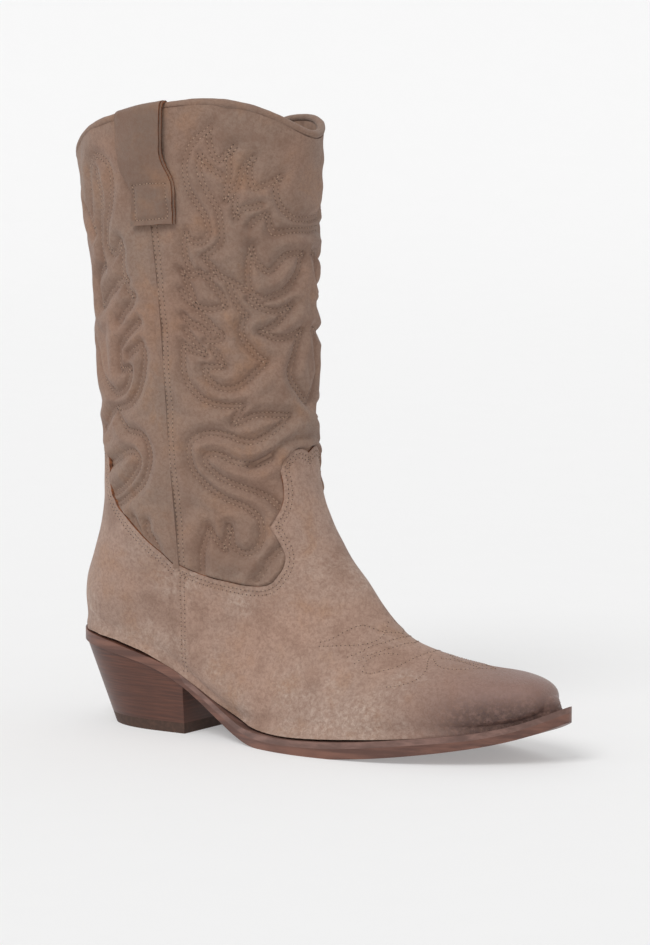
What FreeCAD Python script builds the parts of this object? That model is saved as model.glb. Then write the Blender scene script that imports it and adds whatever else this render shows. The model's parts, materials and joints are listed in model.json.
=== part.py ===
"""A right-foot pull-on western boot: layered upper, lasted bottom, stacked heel.

Millimetres. +Z is up, +X points to the toe, -Y is the outer (little-toe) side.
Inside this script X is measured from the back of the heel seat; every piece is
moved at the end so that the origin is the middle of the boot's footprint.
"""
import FreeCAD, Part
import math
import os

# ---- driving dimensions -------------------------------------------------
BOOT_LENGTH = 285.0          # outsole, heel back to toe tip
ORIGIN_X = 140.3             # footprint centre, from the back of the heel seat
TOE_BEND = 9.0               # how far the toe swings to the inner side
BEND_START = 140.0           # where that swing starts

OUTER_SKIN = (1.7, 0.1)      # vamp and counter: outer and inner face, from the master surface
MIDDLE_SKIN = (0.0, -1.6)    # shaft panels, stiffeners and doubler
LINING_SKIN = (-1.7, -2.9)   # lining
INSIDE = -3.0                # inner face of the boot

INSOLE_TOP = 6.8             # above the outsole's heel seat and the welt
SOCK_TOP = 8.0
PAD_TOP = 11.0
CAVITY_ROOF = 9.0            # the lasting margins are trimmed away below this

TOP_PIECE_THICKNESS = 5.5
LIFT_COUNT = 9
HEEL_SEAT_UNDERSIDE = 43.6   # highest point of the heel stack
BREAST_X = 76.0              # front face of the heel

PIPING_BELOW = 1.8           # rolled piping, measured from the topline
PIPING_ABOVE = 2.0
PIPING_SKIN = (0.9, -3.8)

STRAP_OUTER_LEG = (3.9, 1.5)
STRAP_INNER_LEG = (-3.9, -6.3)
STRAP_BRIDGE = (3.4, 5.9)    # above the topline
STRAP_BOX_TOP = 282.0        # the stitched end lies flat on the shaft below this

SEAM_HALF_WIDTH = 1.6
SEAM_SKIN = (1.2, 0.1)

FAR = 200.0                  # half length of the cutting prisms
SLIVER = 3.0                 # mm3; smaller cut-offs are dropped

# Sections of the master surface, from above the topline down to the toe tip:
# front or top point (x, z), back or bottom point (x, z), half width,
# place of the widest point (-1 bottom .. 1 top), upper and lower roundness.
STATIONS = [
    (144.0, 345.0, -9.3, 345.0, 50.0, 0.0, 1.75, 1.85),
    (138.0, 300.0, -5.5, 300.0, 49.0, 0.0, 1.75, 1.85),
    (135.3, 250.0, 3.7, 250.0, 47.0, 0.0, 1.78, 1.9),
    (134.3, 200.0, 10.0, 198.0, 45.0, 0.0, 1.8, 1.95),
    (134.0, 165.0, 14.0, 150.0, 43.0, 0.0, 1.85, 2.0),
    (134.6, 139.0, 14.6, 112.0, 41.0, 0.0, 1.9, 2.1),
    (141.7, 116.6, 5.0, 80.0, 38.0, -0.1, 1.9, 2.2),
    (154.5, 98.8, 3.0, 60.0, 34.5, -0.3, 1.9, 2.4),
    (168.0, 84.0, 15.0, 49.5, 31.0, -0.5, 1.9, 3.0),
    (181.6, 67.6, 56.0, 40.0, 30.0, -0.6, 1.9, 4.0),
    (196.5, 53.4, 126.0, 9.5, 36.5, -0.65, 1.9, 4.5),
    (224.8, 45.4, 187.0, 10.8, 41.0, -0.6, 2.0, 4.5),
    (251.5, 43.2, 237.0, 16.3, 29.0, -0.5, 2.1, 4.0),
    (266.0, 40.6, 260.5, 21.0, 18.0, -0.4, 2.3, 3.5),
    (272.8, 36.8, 270.5, 24.9, 11.0, -0.2, 2.4, 3.0),
    (275.4, 32.4, 274.6, 27.0, 5.0, -0.1, 2.2, 2.4),
]
HEEL_STATION = 7.5           # from here on the sections' lower ends rest on the sole
SOLE_BED = -0.6              # and this far from the seat and welt line
TOE_PULLBACK = 0.28          # stations that the toe end moves back per mm of inward offset
TOP_STRETCH = 0.3            # stations that an inner body reaches above an outer one
RING_POINTS = 36
ROWS_PER_STATION = 3         # rings of poles between one station and the next
TOP_TILT = 0.143             # the topline falls this much per mm towards the inner side

# Outline of the outsole: x, half width either side of the bent centreline.
SOLE_HALF_WIDTHS = [
    (0.0, 0.0), (3.0, 13.0), (10.0, 22.5), (22.0, 28.7), (40.0, 31.0), (75.0, 30.3),
    (95.0, 31.0), (110.0, 34.5), (128.0, 41.0), (147.0, 45.8), (165.0, 47.3),
    (182.0, 46.6), (200.0, 44.5), (220.0, 39.5), (240.0, 32.0), (262.0, 20.0),
    (277.0, 10.0), (283.0, 5.0), (BOOT_LENGTH, 0.0),
]
# Outline of the hollow inside the lasting margins, filled with cork.
CAVITY_HALF_WIDTHS = [
    (16.0, 0.0), (20.0, 9.0), (30.0, 14.3), (46.0, 15.8), (75.0, 15.0), (95.0, 15.6),
    (112.0, 20.0), (130.0, 26.5), (148.0, 31.0), (166.0, 32.2), (184.0, 31.2),
    (202.0, 28.5), (220.0, 23.0), (236.0, 15.0), (246.0, 7.5), (249.0, 0.0),
]
PAD_HALF_WIDTHS = [(12.0, 0.0), (16.0, 9.0), (26.0, 15.5), (42.0, 18.0), (60.0, 16.0),
                   (70.0, 9.0), (73.0, 0.0)]

# Side view of the sole: height of its upper and lower edge along x.
SEAT_AND_WELT_TOP = [
    (-20.0, 51.5), (0.0, 49.0), (15.0, 47.1), (31.0, 44.3), (50.0, 39.8), (68.0, 34.4),
    (77.0, 30.0), (93.0, 20.6), (109.0, 12.3), (119.0, 9.0), (134.0, 7.4), (163.0, 7.6),
    (180.0, 8.6), (197.0, 10.2), (225.0, 13.4), (241.0, 15.3), (256.0, 18.0),
    (268.0, 21.6), (276.0, 24.9), (290.0, 31.7),
]
SOLE_BOTTOM = [(-20.0, 46.0), (0.0, 43.5), (31.0, 38.9), (68.0, 29.3), (77.0, 24.6),
               (103.0, 8.4), (117.0, 2.4), (131.0, 0.0)]
BALL_END = 178.0
SOLE_BOTTOM_TOE = [(BALL_END, 0.0), (197.0, 1.7), (225.0, 5.2), (242.0, 7.9), (256.0, 10.7),
                   (268.0, 14.1), (276.0, 17.1), (290.0, 24.2)]
WELT_THICKNESS = 3.1
WELT_START = (74.0, 78.0)    # the heel seat steps down to the welt between these

# Side view of the upper: x, z. The topline is the one over the centreline.
TOPLINE = [
    (-30.0, 290.0), (-4.5, 290.5), (3.0, 291.0), (12.0, 296.1), (22.0, 301.9), (37.0, 307.1),
    (52.0, 310.4), (68.0, 314.0), (84.0, 316.9), (98.0, 319.0), (108.0, 319.3),
    (117.0, 318.3), (126.0, 315.5), (133.0, 311.6), (138.0, 307.3), (160.0, 303.0),
]
SIDE_SEAM = [(66.0, 360.0), (69.0, 265.0), (72.5, 230.0), (74.5, 197.0), (76.0, 160.0),
             (77.5, 122.0), (77.3, 87.0), (74.7, 60.0), (75.0, 38.0), (76.0, -30.0)]
VAMP_THROAT = [(77.3, 87.0), (92.4, 81.9), (103.0, 79.2), (113.0, 77.8), (122.4, 78.2),
               (129.0, 81.4), (133.7, 88.6), (135.5, 96.0)]
TONGUE_SIDE = [(19.3, 92.0), (19.5, 101.0), (21.2, 110.8), (20.2, 116.0), (17.0, 122.6),
               (14.6, 129.0), (14.4, 135.1), (15.2, 143.0)]      # y, z in front view
TONGUE_PEAK = [(15.2, 143.0), (8.5, 146.8), (0.0, 150.3)]
COUNTER_TOP = [(77.3, 87.0), (70.7, 93.2), (62.2, 99.3), (53.3, 106.5), (45.8, 112.0),
               (36.6, 118.9), (33.0, 126.0), (32.0, 134.0), (28.0, 141.0), (22.0, 145.5),
               (-30.0, 158.0)]
SHAFT_FRONT_HEM = [(77.0, 77.0), (95.0, 71.0), (115.0, 68.0), (135.0, 73.0), (148.0, 88.0),
                   (165.0, 108.0), (230.0, 160.0)]
SHAFT_BACK_HEM = [(77.0, 77.0), (55.0, 91.0), (38.0, 104.0), (20.0, 116.0), (-30.0, 130.0)]
LINING_JOIN = [(-30.0, 128.0), (40.0, 112.0), (77.0, 100.0), (110.0, 92.0), (145.0, 108.0),
               (230.0, 160.0)]
PUFF_START = 212.0
STRAP_OUTLINE = [
    [(51.5, 345.0), (51.5, 310.0), (52.0, 295.0), (55.5, 283.0)],
    [(55.5, 283.0), (61.0, 282.0)],
    [(61.0, 282.0), (61.5, 264.5)],
    [(61.5, 264.5), (83.5, 268.0)],
    [(83.5, 268.0), (82.5, 285.0), (81.0, 305.0), (82.0, 345.0)],
    [(82.0, 345.0), (51.5, 345.0)],
]

NAILS = [(29.0, 0.0), (38.0, 14.0), (38.0, -14.0), (60.0, 15.0), (60.0, -15.0)]
SCREW = (48.0, 0.0)
TOP_PIECE_NAILS = [(27.0, 0.0), (36.0, 15.0), (36.0, -15.0), (52.0, 20.0), (52.0, -20.0),
                   (68.0, 19.0), (68.0, -19.0), (68.0, 0.0)]
RIVETS = [42.0, 112.0]
SHANK = (34.0, 126.0, 6.5)   # x from, x to, half width
SHANK_LEVEL = (1.2, 3.0)     # above the seat and welt line


# ---- small maths --------------------------------------------------------
def vec(x, y, z):
    return FreeCAD.Vector(x, y, z)


def hermite(points):
    """A smooth function through (x, y) points, straight beyond its ends."""
    xs = [p[0] for p in points]
    ys = [p[1] for p in points]
    count = len(xs)
    steps = [xs[i + 1] - xs[i] for i in range(count - 1)]
    slopes = [(ys[i + 1] - ys[i]) / steps[i] for i in range(count - 1)]
    tangents = [slopes[0]] + [0.0] * (count - 2) + [slopes[-1]]
    for i in range(1, count - 1):
        weighted = slopes[i] * steps[i - 1] + slopes[i - 1] * steps[i]
        tangents[i] = weighted / (steps[i - 1] + steps[i])

    def value(x):
        if x <= xs[0]:
            return ys[0] + tangents[0] * (x - xs[0])
        if x >= xs[-1]:
            return ys[-1] + tangents[-1] * (x - xs[-1])
        i = max(k for k in range(count - 1) if xs[k] <= x)
        u = (x - xs[i]) / steps[i]
        rise = ys[i + 1] - ys[i]
        ease = u * u * (3 - 2 * u)
        start = steps[i] * tangents[i] * u * (1 - u) ** 2
        end = steps[i] * tangents[i + 1] * u * u * (u - 1)
        return ys[i] + rise * ease + start + end

    return value


def toe_bend(x):
    """Sideways place of the foot's centreline."""
    return TOE_BEND * max(0.0, (x - BEND_START) / (BOOT_LENGTH - BEND_START)) ** 2


seat_height = hermite(SEAT_AND_WELT_TOP)
station_value = [hermite([(i, row[k]) for i, row in enumerate(STATIONS)]) for k in range(8)]


def station(v):
    """The eight section values at v, with the bottom kept above the sole's bed."""
    values = [f(v) for f in station_value]
    if v > HEEL_STATION:
        values[3] = max(values[3], seat_height(values[2]) + SOLE_BED)
    return values


# ---- the master surface -------------------------------------------------
def half_section(v, samples=160):
    """Half of a section as (along, across) points, from its back or bottom point."""
    front_x, front_z, back_x, back_z, width, widest, upper, lower = station(v)
    half = math.hypot(front_x - back_x, front_z - back_z) / 2
    points = []
    for i in range(samples + 1):
        phi = math.pi * i / samples
        c = -math.cos(phi)
        s = math.sin(phi)
        power = lower if c < 0 else upper
        reach = 1 + widest if c < 0 else 1 - widest
        along = widest + math.copysign(reach * abs(c) ** (2 / power), c)
        points.append((along * half, width * abs(s) ** (2 / power)))
    return points


def even_points(points, count):
    """The same line with count + 1 evenly spaced points."""
    lengths = [0.0]
    for a, b in zip(points, points[1:]):
        lengths.append(lengths[-1] + math.dist(a, b))
    result = []
    j = 0
    for k in range(count + 1):
        goal = lengths[-1] * k / count
        while j < len(points) - 2 and lengths[j + 1] < goal:
            j += 1
        span = lengths[j + 1] - lengths[j]
        u = (goal - lengths[j]) / span if span else 0.0
        result.append(tuple(a + (b - a) * u for a, b in zip(points[j], points[j + 1])))
    return result


def grown(points, distance):
    """The half line moved outward by distance, its ends along the section's axis."""
    last = len(points) - 1
    result = []
    for k, (along, across) in enumerate(points):
        before = points[max(0, k - 1)]
        after = points[min(last, k + 1)]
        if k in (0, last):
            normal = (1.0 if k else -1.0, 0.0)
        else:
            length = math.dist(before, after)
            normal = (-(after[1] - before[1]) / length, (after[0] - before[0]) / length)
        result.append((along + normal[0] * distance, across + normal[1] * distance))
    return result


def section_ring(v, distance):
    """Points round one closed section of the boot, grown by distance."""
    front_x, front_z, back_x, back_z = station(v)[:4]
    length = math.hypot(front_x - back_x, front_z - back_z)
    axis = ((front_x - back_x) / length, (front_z - back_z) / length)
    centre = ((front_x + back_x) / 2, (front_z + back_z) / 2)
    half = grown(even_points(half_section(v), RING_POINTS // 2), distance)
    points = []
    for along, across in [(a, -w) for a, w in half] + [(a, w) for a, w in reversed(half[1:-1])]:
        x = centre[0] + axis[0] * along
        z = centre[1] + axis[1] * along
        points.append(vec(x, across + toe_bend(x), z))
    return points


def tube_face(rings):
    """One smooth face round and along the rings, a cubic surface with the points as poles."""
    along = len(rings)
    around = len(rings[0])
    surface = Part.BSplineSurface()
    surface.buildFromPolesMultsKnots(
        rings, [4] + [1] * (along - 4) + [4], [1] * (around + 1),
        list(range(along - 2)), list(range(around + 1)), False, True, 3, 3)
    return surface.toShape()


def boot_body(distance, stretch=False):
    """The closed boot shape grown by distance; stretch makes it reach higher."""
    last = len(STATIONS) - 1 - TOE_PULLBACK * (OUTER_SKIN[0] - distance)
    first = -TOP_STRETCH if stretch else 0.0
    inner_stops = [i / ROWS_PER_STATION for i in range(1, ROWS_PER_STATION * len(STATIONS))]
    stops = [first] + [v for v in inner_stops if v < last - 0.5 / ROWS_PER_STATION] + [last]
    side = tube_face([section_ring(v, distance) for v in stops])
    rims = [edge for edge in side.Edges if not edge.isSeam(side)]
    caps = [Part.Face(Part.Wire([edge])) for edge in rims]
    shell = Part.makeShell([side] + caps)
    shell.sewShape()
    solid = Part.makeSolid(shell)
    if solid.Volume < 0:
        solid.reverse()
    return solid


def skin(faces):
    """The layer of the upper between two distances from the master surface."""
    return boot_body(faces[0]).cut(boot_body(faces[1], stretch=True))


# ---- prisms that cut the pieces out --------------------------------------
def outline_face(lines, place):
    """A flat face bounded by smooth lines; place turns (a, b) into a 3-D point."""
    edges = []
    for line in lines:
        points = [place(a, b) for a, b in line]
        if len(points) == 2:
            edges.append(Part.makeLine(points[0], points[1]))
        else:
            spline = Part.BSplineCurve()
            spline.interpolate(points)
            edges.append(spline.toShape())
    return Part.Face(Part.Wire(edges))


def side_prism(lines, y_from=-FAR, y_to=FAR):
    """A prism along Y from lines in side view (x, z)."""
    face = outline_face(lines, lambda a, b: vec(a, y_from, b))
    return face.extrude(vec(0, y_to - y_from, 0))


def closed_below(line, floor):
    """Side-view lines that close the region under a line, carried on level past its ends."""
    start, end = line[0], line[-1]
    reach = math.copysign(FAR * 2, end[0] - start[0])
    far_start = (-reach, start[1])
    far_end = (reach, end[1])
    return [line, [end, far_end], [far_end, (reach, floor)], [(reach, floor), (-reach, floor)],
            [(-reach, floor), far_start], [far_start, start]]


def raised(line, height):
    return [(x, z + height) for x, z in line]


def below(line, floor=-60.0):
    return side_prism(closed_below(line, floor))


def below_topline(height):
    """Everything under the topline moved up by height; the line lies lower on the inner side."""
    lines = closed_below(raised(TOPLINE, height + TOP_TILT * FAR), -60.0)
    face = outline_face(lines, lambda a, b: vec(a, -FAR, b))
    return face.extrude(vec(0, 2 * FAR, -2 * FAR * TOP_TILT))


def band(low, high):
    """The prism along Y between two side-view lines with the same ends in x."""
    lines = [low, [low[-1], high[-1]], list(reversed(high)), [high[0], low[0]]]
    return side_prism([line for line in lines if line[0] != line[-1]])


def plan_prism(half_widths, z_from=-20.0, z_to=90.0):
    """A prism along Z from half widths about the bent centreline."""
    near = [(x, toe_bend(x) - w) for x, w in half_widths]
    far = [(x, toe_bend(x) + w) for x, w in reversed(half_widths[1:-1])]
    spline = Part.BSplineCurve()
    points = [vec(x, y, z_from) for x, y in near + far]
    spline.interpolate(Points=points, PeriodicFlag=True)
    return Part.Face(Part.Wire([spline.toShape()])).extrude(vec(0, 0, z_to - z_from))


def behind_seam():
    """Everything behind the side seams."""
    top, bottom = SIDE_SEAM[0], SIDE_SEAM[-1]
    back = -60.0
    return side_prism([SIDE_SEAM, [bottom, (back, bottom[1])],
                       [(back, bottom[1]), (back, top[1])], [(back, top[1]), top]])


def box_between(x_from, x_to, y_from=-FAR, y_to=FAR, z_from=-60.0, z_to=400.0):
    corner = vec(x_from, y_from, z_from)
    return Part.makeBox(x_to - x_from, y_to - y_from, z_to - z_from, corner)


# ---- bottom and heel -----------------------------------------------------
def welt_underside():
    """Height of the outsole's top face: the heel seat, then a step down under the welt."""
    start, end = WELT_START
    seat = [p for p in SEAT_AND_WELT_TOP if p[0] < start] + [(start, seat_height(start))]
    step = [(end, seat_height(end) - WELT_THICKNESS)]
    fore = [(x, z - WELT_THICKNESS) for x, z in SEAT_AND_WELT_TOP if x > end]
    return seat, step + fore


def sole_region(low_lines, high_lines):
    """The prism along Y between two chains of side-view lines."""
    lines = list(low_lines)
    lines.append([low_lines[-1][-1], high_lines[-1][-1]])
    lines += [list(reversed(line)) for line in reversed(high_lines)]
    lines.append([high_lines[0][0], low_lines[0][0]])
    return side_prism(lines)


def make_bottom(inside):
    """Outsole, welt, insole and what lies between them."""
    outline = plan_prism(SOLE_HALF_WIDTHS)
    cavity = plan_prism(CAVITY_HALF_WIDTHS)
    seat, fore = welt_underside()
    joined = [seat, [seat[-1], fore[0]], fore]
    ball = [SOLE_BOTTOM[-1], SOLE_BOTTOM_TOE[0]]
    low = [SOLE_BOTTOM, ball, SOLE_BOTTOM_TOE]
    outsole = outline.common(sole_region(low, joined))

    cavity_roof = raised(SEAT_AND_WELT_TOP, CAVITY_ROOF)
    above_outsole = sole_region(joined, [cavity_roof])
    seat_region = below(SEAT_AND_WELT_TOP)
    welt = outline.common(above_outsole).common(seat_region).cut(cavity)

    shank_from, shank_to, shank_half = SHANK
    shank_bar = box_between(shank_from, shank_to, -shank_half, shank_half)
    level = [raised(SEAT_AND_WELT_TOP, h) for h in SHANK_LEVEL]
    shank = shank_bar.common(band(level[0], level[1]))
    filler = cavity.common(above_outsole).cut(inside).cut(shank)

    insole = inside.common(below(raised(SEAT_AND_WELT_TOP, INSOLE_TOP)))
    sock_band = band(raised(SEAT_AND_WELT_TOP, INSOLE_TOP), raised(SEAT_AND_WELT_TOP, SOCK_TOP))
    pad_band = band(raised(SEAT_AND_WELT_TOP, SOCK_TOP), raised(SEAT_AND_WELT_TOP, PAD_TOP))
    return {
        "outsole": outsole,
        "welt": welt,
        "steel_shank": shank,
        "cork_filler": filler,
        "insole_board": insole,
        "sock_liner": inside.common(sock_band),
        "heel_pad": inside.common(pad_band).common(plan_prism(PAD_HALF_WIDTHS)),
    }


def heel_wire(z, back, half_width):
    """The D-shaped outline of the heel at height z."""
    roundness = 2.2
    middle = back + 40.0
    points = []
    for i in range(13):
        phi = math.pi * (i / 12 - 0.5)
        c = abs(math.cos(phi)) ** (2 / roundness)
        s = math.copysign(abs(math.sin(phi)) ** (2 / roundness), math.sin(phi))
        points.append(vec(middle - c * (middle - back), s * half_width, z))
    arc = Part.BSplineCurve()
    arc.interpolate(points)
    near = vec(BREAST_X, -half_width, z)
    far = vec(BREAST_X, half_width, z)
    return Part.Wire([arc.toShape(), Part.makeLine(points[-1], far), Part.makeLine(far, near),
                      Part.makeLine(near, points[0])])


def make_heel():
    """The rubber top piece and the stack of leather lifts, cut level."""
    lower = heel_wire(0.0, 18.5, 27.5)
    upper = heel_wire(55.0, -4.5, 31.5)
    block = Part.makeLoft([lower, upper], True, True).common(below(SOLE_BOTTOM, -5.0))
    pieces = {"heel_top_piece": block.common(box_between(-FAR, FAR, z_to=TOP_PIECE_THICKNESS))}
    step = (HEEL_SEAT_UNDERSIDE - TOP_PIECE_THICKNESS) / LIFT_COUNT
    for i in range(LIFT_COUNT):
        floor = TOP_PIECE_THICKNESS + i * step
        roof = floor + step if i < LIFT_COUNT - 1 else 60.0
        layer = box_between(-FAR, FAR, z_from=floor, z_to=roof)
        pieces["heel_lift_%d" % (i + 1)] = block.common(layer)
    return pieces


def pin(x, y, z_from, z_to, radius, head_radius, head_height):
    """A straight shank with a round head on top."""
    shaft = Part.makeCylinder(radius, z_to - z_from, vec(x, y, z_from))
    head = Part.makeCylinder(head_radius, head_height, vec(x, y, z_to - head_height))
    return shaft.fuse(head)


def make_fasteners():
    """Nails, screw and rivets, each group one node."""
    top = INSOLE_TOP - 1.4
    nails = [pin(x, y, 9.0, seat_height(x) + top, 1.1, 2.2, 0.9) for x, y in NAILS]
    screw = pin(SCREW[0], SCREW[1], 14.0, seat_height(SCREW[0]) + top, 2.4, 4.2, 1.4)
    small = [pin(x, y, 0.4, 8.0, 0.9, 0.9, 1.0) for x, y in TOP_PIECE_NAILS]
    rivets = [pin(x, 0.0, seat_height(x) + 0.9, seat_height(x) + top, 1.6, 2.8, 0.9)
              for x in RIVETS]
    return {
        "heel_nails": Part.makeCompound(nails),
        "heel_screw": screw,
        "top_piece_nails": Part.makeCompound(small),
        "shank_rivets": Part.makeCompound(rivets),
    }


# ---- upper ----------------------------------------------------------------
def make_outer_skin(seat_region, cavity, back_half):
    """Vamp with its tongue, and the heel counter."""
    layer = skin(OUTER_SKIN).cut(seat_region).cut(cavity)
    throat_end = VAMP_THROAT[-1]
    vamp_side = side_prism([
        VAMP_THROAT, [throat_end, (320.0, throat_end[1])],
        [(320.0, throat_end[1]), (320.0, -30.0)], [(320.0, -30.0), SIDE_SEAM[-1]],
        list(reversed([p for p in SIDE_SEAM if p[1] <= VAMP_THROAT[0][1]])),
    ])
    right = [(-y, z) for y, z in TONGUE_SIDE]
    peak = TONGUE_PEAK + [(-y, z) for y, z in reversed(TONGUE_PEAK[:-1])]
    face = outline_face([TONGUE_SIDE, peak, list(reversed(right)), [right[0], TONGUE_SIDE[0]]],
                        lambda a, b: vec(105.0, a, b))
    tongue = face.extrude(vec(120.0, 0, 0))
    vamp = layer.common(vamp_side.fuse(tongue))
    counter = layer.common(back_half).common(below(list(reversed(COUNTER_TOP))))
    return {"vamp": vamp, "heel_counter": counter}


def make_middle_skin(seat_region, cavity, back_half, below_piping):
    """Shaft panels, and the stiffeners and doubler that carry on below them."""
    layer = skin(MIDDLE_SKIN).cut(seat_region).cut(cavity).common(below_piping)
    back = layer.common(back_half)
    front = layer.cut(back_half)
    front_low = below(SHAFT_FRONT_HEM)
    back_low = below(list(reversed(SHAFT_BACK_HEM)))
    toe = box_between(PUFF_START, FAR * 2)
    return {
        "shaft_front": front.cut(front_low.fuse(toe)),
        "shaft_back": back.cut(back_low),
        "vamp_doubler": front.common(front_low).cut(toe),
        "toe_puff": front.common(toe),
        "heel_stiffener": back.common(back_low),
    }


def make_lining(seat_region, cavity, back_half, below_piping):
    """The four lining pieces."""
    layer = skin(LINING_SKIN).cut(seat_region).cut(cavity).common(below_piping)
    low = below(LINING_JOIN)
    back = layer.common(back_half)
    front = layer.cut(back_half)
    return {
        "shaft_lining_front": front.cut(low),
        "shaft_lining_back": back.cut(low),
        "vamp_lining": front.common(low),
        "heel_lining": back.common(low),
    }


def make_piping():
    """The rolled piping that caps the top edge all round."""
    ring = below_topline(PIPING_ABOVE).cut(below_topline(-PIPING_BELOW))
    return skin(PIPING_SKIN).common(ring)


def seam_strip():
    """The side-view prism of the seam ridge, between counter and piping."""
    line = [p for p in SIDE_SEAM if p[1] >= 87.0]
    back = [(x - SEAM_HALF_WIDTH, z) for x, z in line]
    front = [(x + SEAM_HALF_WIDTH, z) for x, z in line]
    strip = side_prism([back, [back[-1], front[-1]], list(reversed(front)),
                        [front[0], back[0]]])
    return strip.common(below_topline(-PIPING_BELOW - 0.4))


def make_seams_and_straps():
    """Seam ridges and folded pull straps on the outer and the inner side."""
    ridge_ring = skin(SEAM_SKIN).common(seam_strip())
    outline = side_prism(STRAP_OUTLINE)
    roof = below_topline(STRAP_BRIDGE[1])
    low_end = box_between(-FAR, FAR, z_to=STRAP_BOX_TOP)
    bridge_band = roof.cut(below_topline(STRAP_BRIDGE[0]))
    legs = [skin(STRAP_OUTER_LEG), skin(STRAP_INNER_LEG)]
    feet = [skin((STRAP_OUTER_LEG[0], 0.05)).common(low_end),
            skin((LINING_SKIN[1] - 0.05, STRAP_INNER_LEG[1])).common(low_end)]
    bridge = skin((STRAP_OUTER_LEG[0], STRAP_INNER_LEG[1])).common(bridge_band)
    straps = legs[0].fuse(legs[1:] + feet).common(roof).fuse(bridge)
    straps = straps.common(outline).cut(ridge_ring)
    pieces = {}
    for name, side in (("outer", (-FAR, 0.0)), ("inner", (0.0, FAR))):
        half = box_between(-FAR, FAR * 2, side[0], side[1])
        pieces["pull_strap_" + name] = straps.common(half)
        pieces["side_seam_" + name] = ridge_ring.common(half)
    return pieces


# ---- the whole boot ---------------------------------------------------------
def build():
    inside = boot_body(INSIDE, stretch=True)
    seat_region = below(SEAT_AND_WELT_TOP)
    roof = below(raised(SEAT_AND_WELT_TOP, CAVITY_ROOF))
    cavity = plan_prism(CAVITY_HALF_WIDTHS).common(roof)
    back_half = behind_seam()
    below_piping = below_topline(-PIPING_BELOW)

    pieces = {}
    pieces.update(make_bottom(inside))
    pieces.update(make_heel())
    pieces.update(make_outer_skin(seat_region, cavity, back_half))
    pieces.update(make_middle_skin(seat_region, cavity, back_half, below_piping))
    pieces.update(make_lining(seat_region, cavity, back_half, below_piping))
    pieces["topline_piping"] = make_piping()
    pieces.update(make_seams_and_straps())

    fasteners = make_fasteners()
    holes = Part.makeCompound(list(fasteners.values()))
    drilled = ["outsole", "insole_board", "cork_filler", "steel_shank", "heel_top_piece"]
    drilled += ["heel_lift_%d" % (i + 1) for i in range(LIFT_COUNT)]
    for name in drilled:
        pieces[name] = pieces[name].cut(holes)
    pieces.update(fasteners)
    return pieces


def export(pieces):
    os.makedirs("parts", exist_ok=True)
    for name, shape in pieces.items():
        placed = shape.copy()
        placed.translate(vec(-ORIGIN_X, 0, 0))
        solids = [solid for solid in placed.Solids if solid.Volume > SLIVER]
        result = solids[0] if len(solids) == 1 else Part.makeCompound(solids)
        result.exportStep("parts/%s.step" % name)
        box = result.optimalBoundingBox(False)
        print("%-20s solids %d valid %s volume %9.1f  x %7.1f %7.1f  y %6.1f %6.1f  z %6.1f %6.1f"
              % (name, len(solids), result.isValid(), result.Volume, box.XMin, box.XMax,
                 box.YMin, box.YMax, box.ZMin, box.ZMax))


export(build())
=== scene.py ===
"""The looks of a pull-on western boot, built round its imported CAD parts.

Shapes are worked out in millimetres, with X measured from the back of the heel
seat, and turned into metres in the boot's own frame when a mesh is made.
"""

import json
import math

import bpy
import numpy as np
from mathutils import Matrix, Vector, kdtree


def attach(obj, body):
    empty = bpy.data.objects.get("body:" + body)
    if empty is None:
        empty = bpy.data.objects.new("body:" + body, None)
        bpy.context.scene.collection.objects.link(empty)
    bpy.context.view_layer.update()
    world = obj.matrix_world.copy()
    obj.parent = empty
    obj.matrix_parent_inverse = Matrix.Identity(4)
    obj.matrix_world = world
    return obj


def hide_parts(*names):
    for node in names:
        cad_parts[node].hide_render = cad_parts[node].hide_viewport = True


ORIGIN_X = 140.3             # footprint centre, from the back of the heel seat
BOOT_LENGTH = 285.0
TOE_BEND = 9.0               # how far the toe swings to the inner side
BEND_START = 140.0
VAMP_FACE = 1.7              # outer face of vamp and counter, from the master surface
LAST_STATION = 15.0          # of the master surface, at the tip of the toe
SHAFT_STATIONS = (0.3, 8.7)  # that the shaft's grid runs between
FOOT_START = 3.9             # station where the foot's grid begins
PIPING_STATIONS = (0.2, 2.2)
PIPING_DEPTH = -1.3          # of its middle, from the master surface
RING_POINTS = 36
ROWS_PER_STATION = 3
CELL = 0.8                   # size of a mesh cell
COLUMNS = 448                # points round a fine section
EDGE_THICKNESS = 1.6         # of the raw leather edges
PITCH = 2.3                  # stitch to stitch

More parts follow.
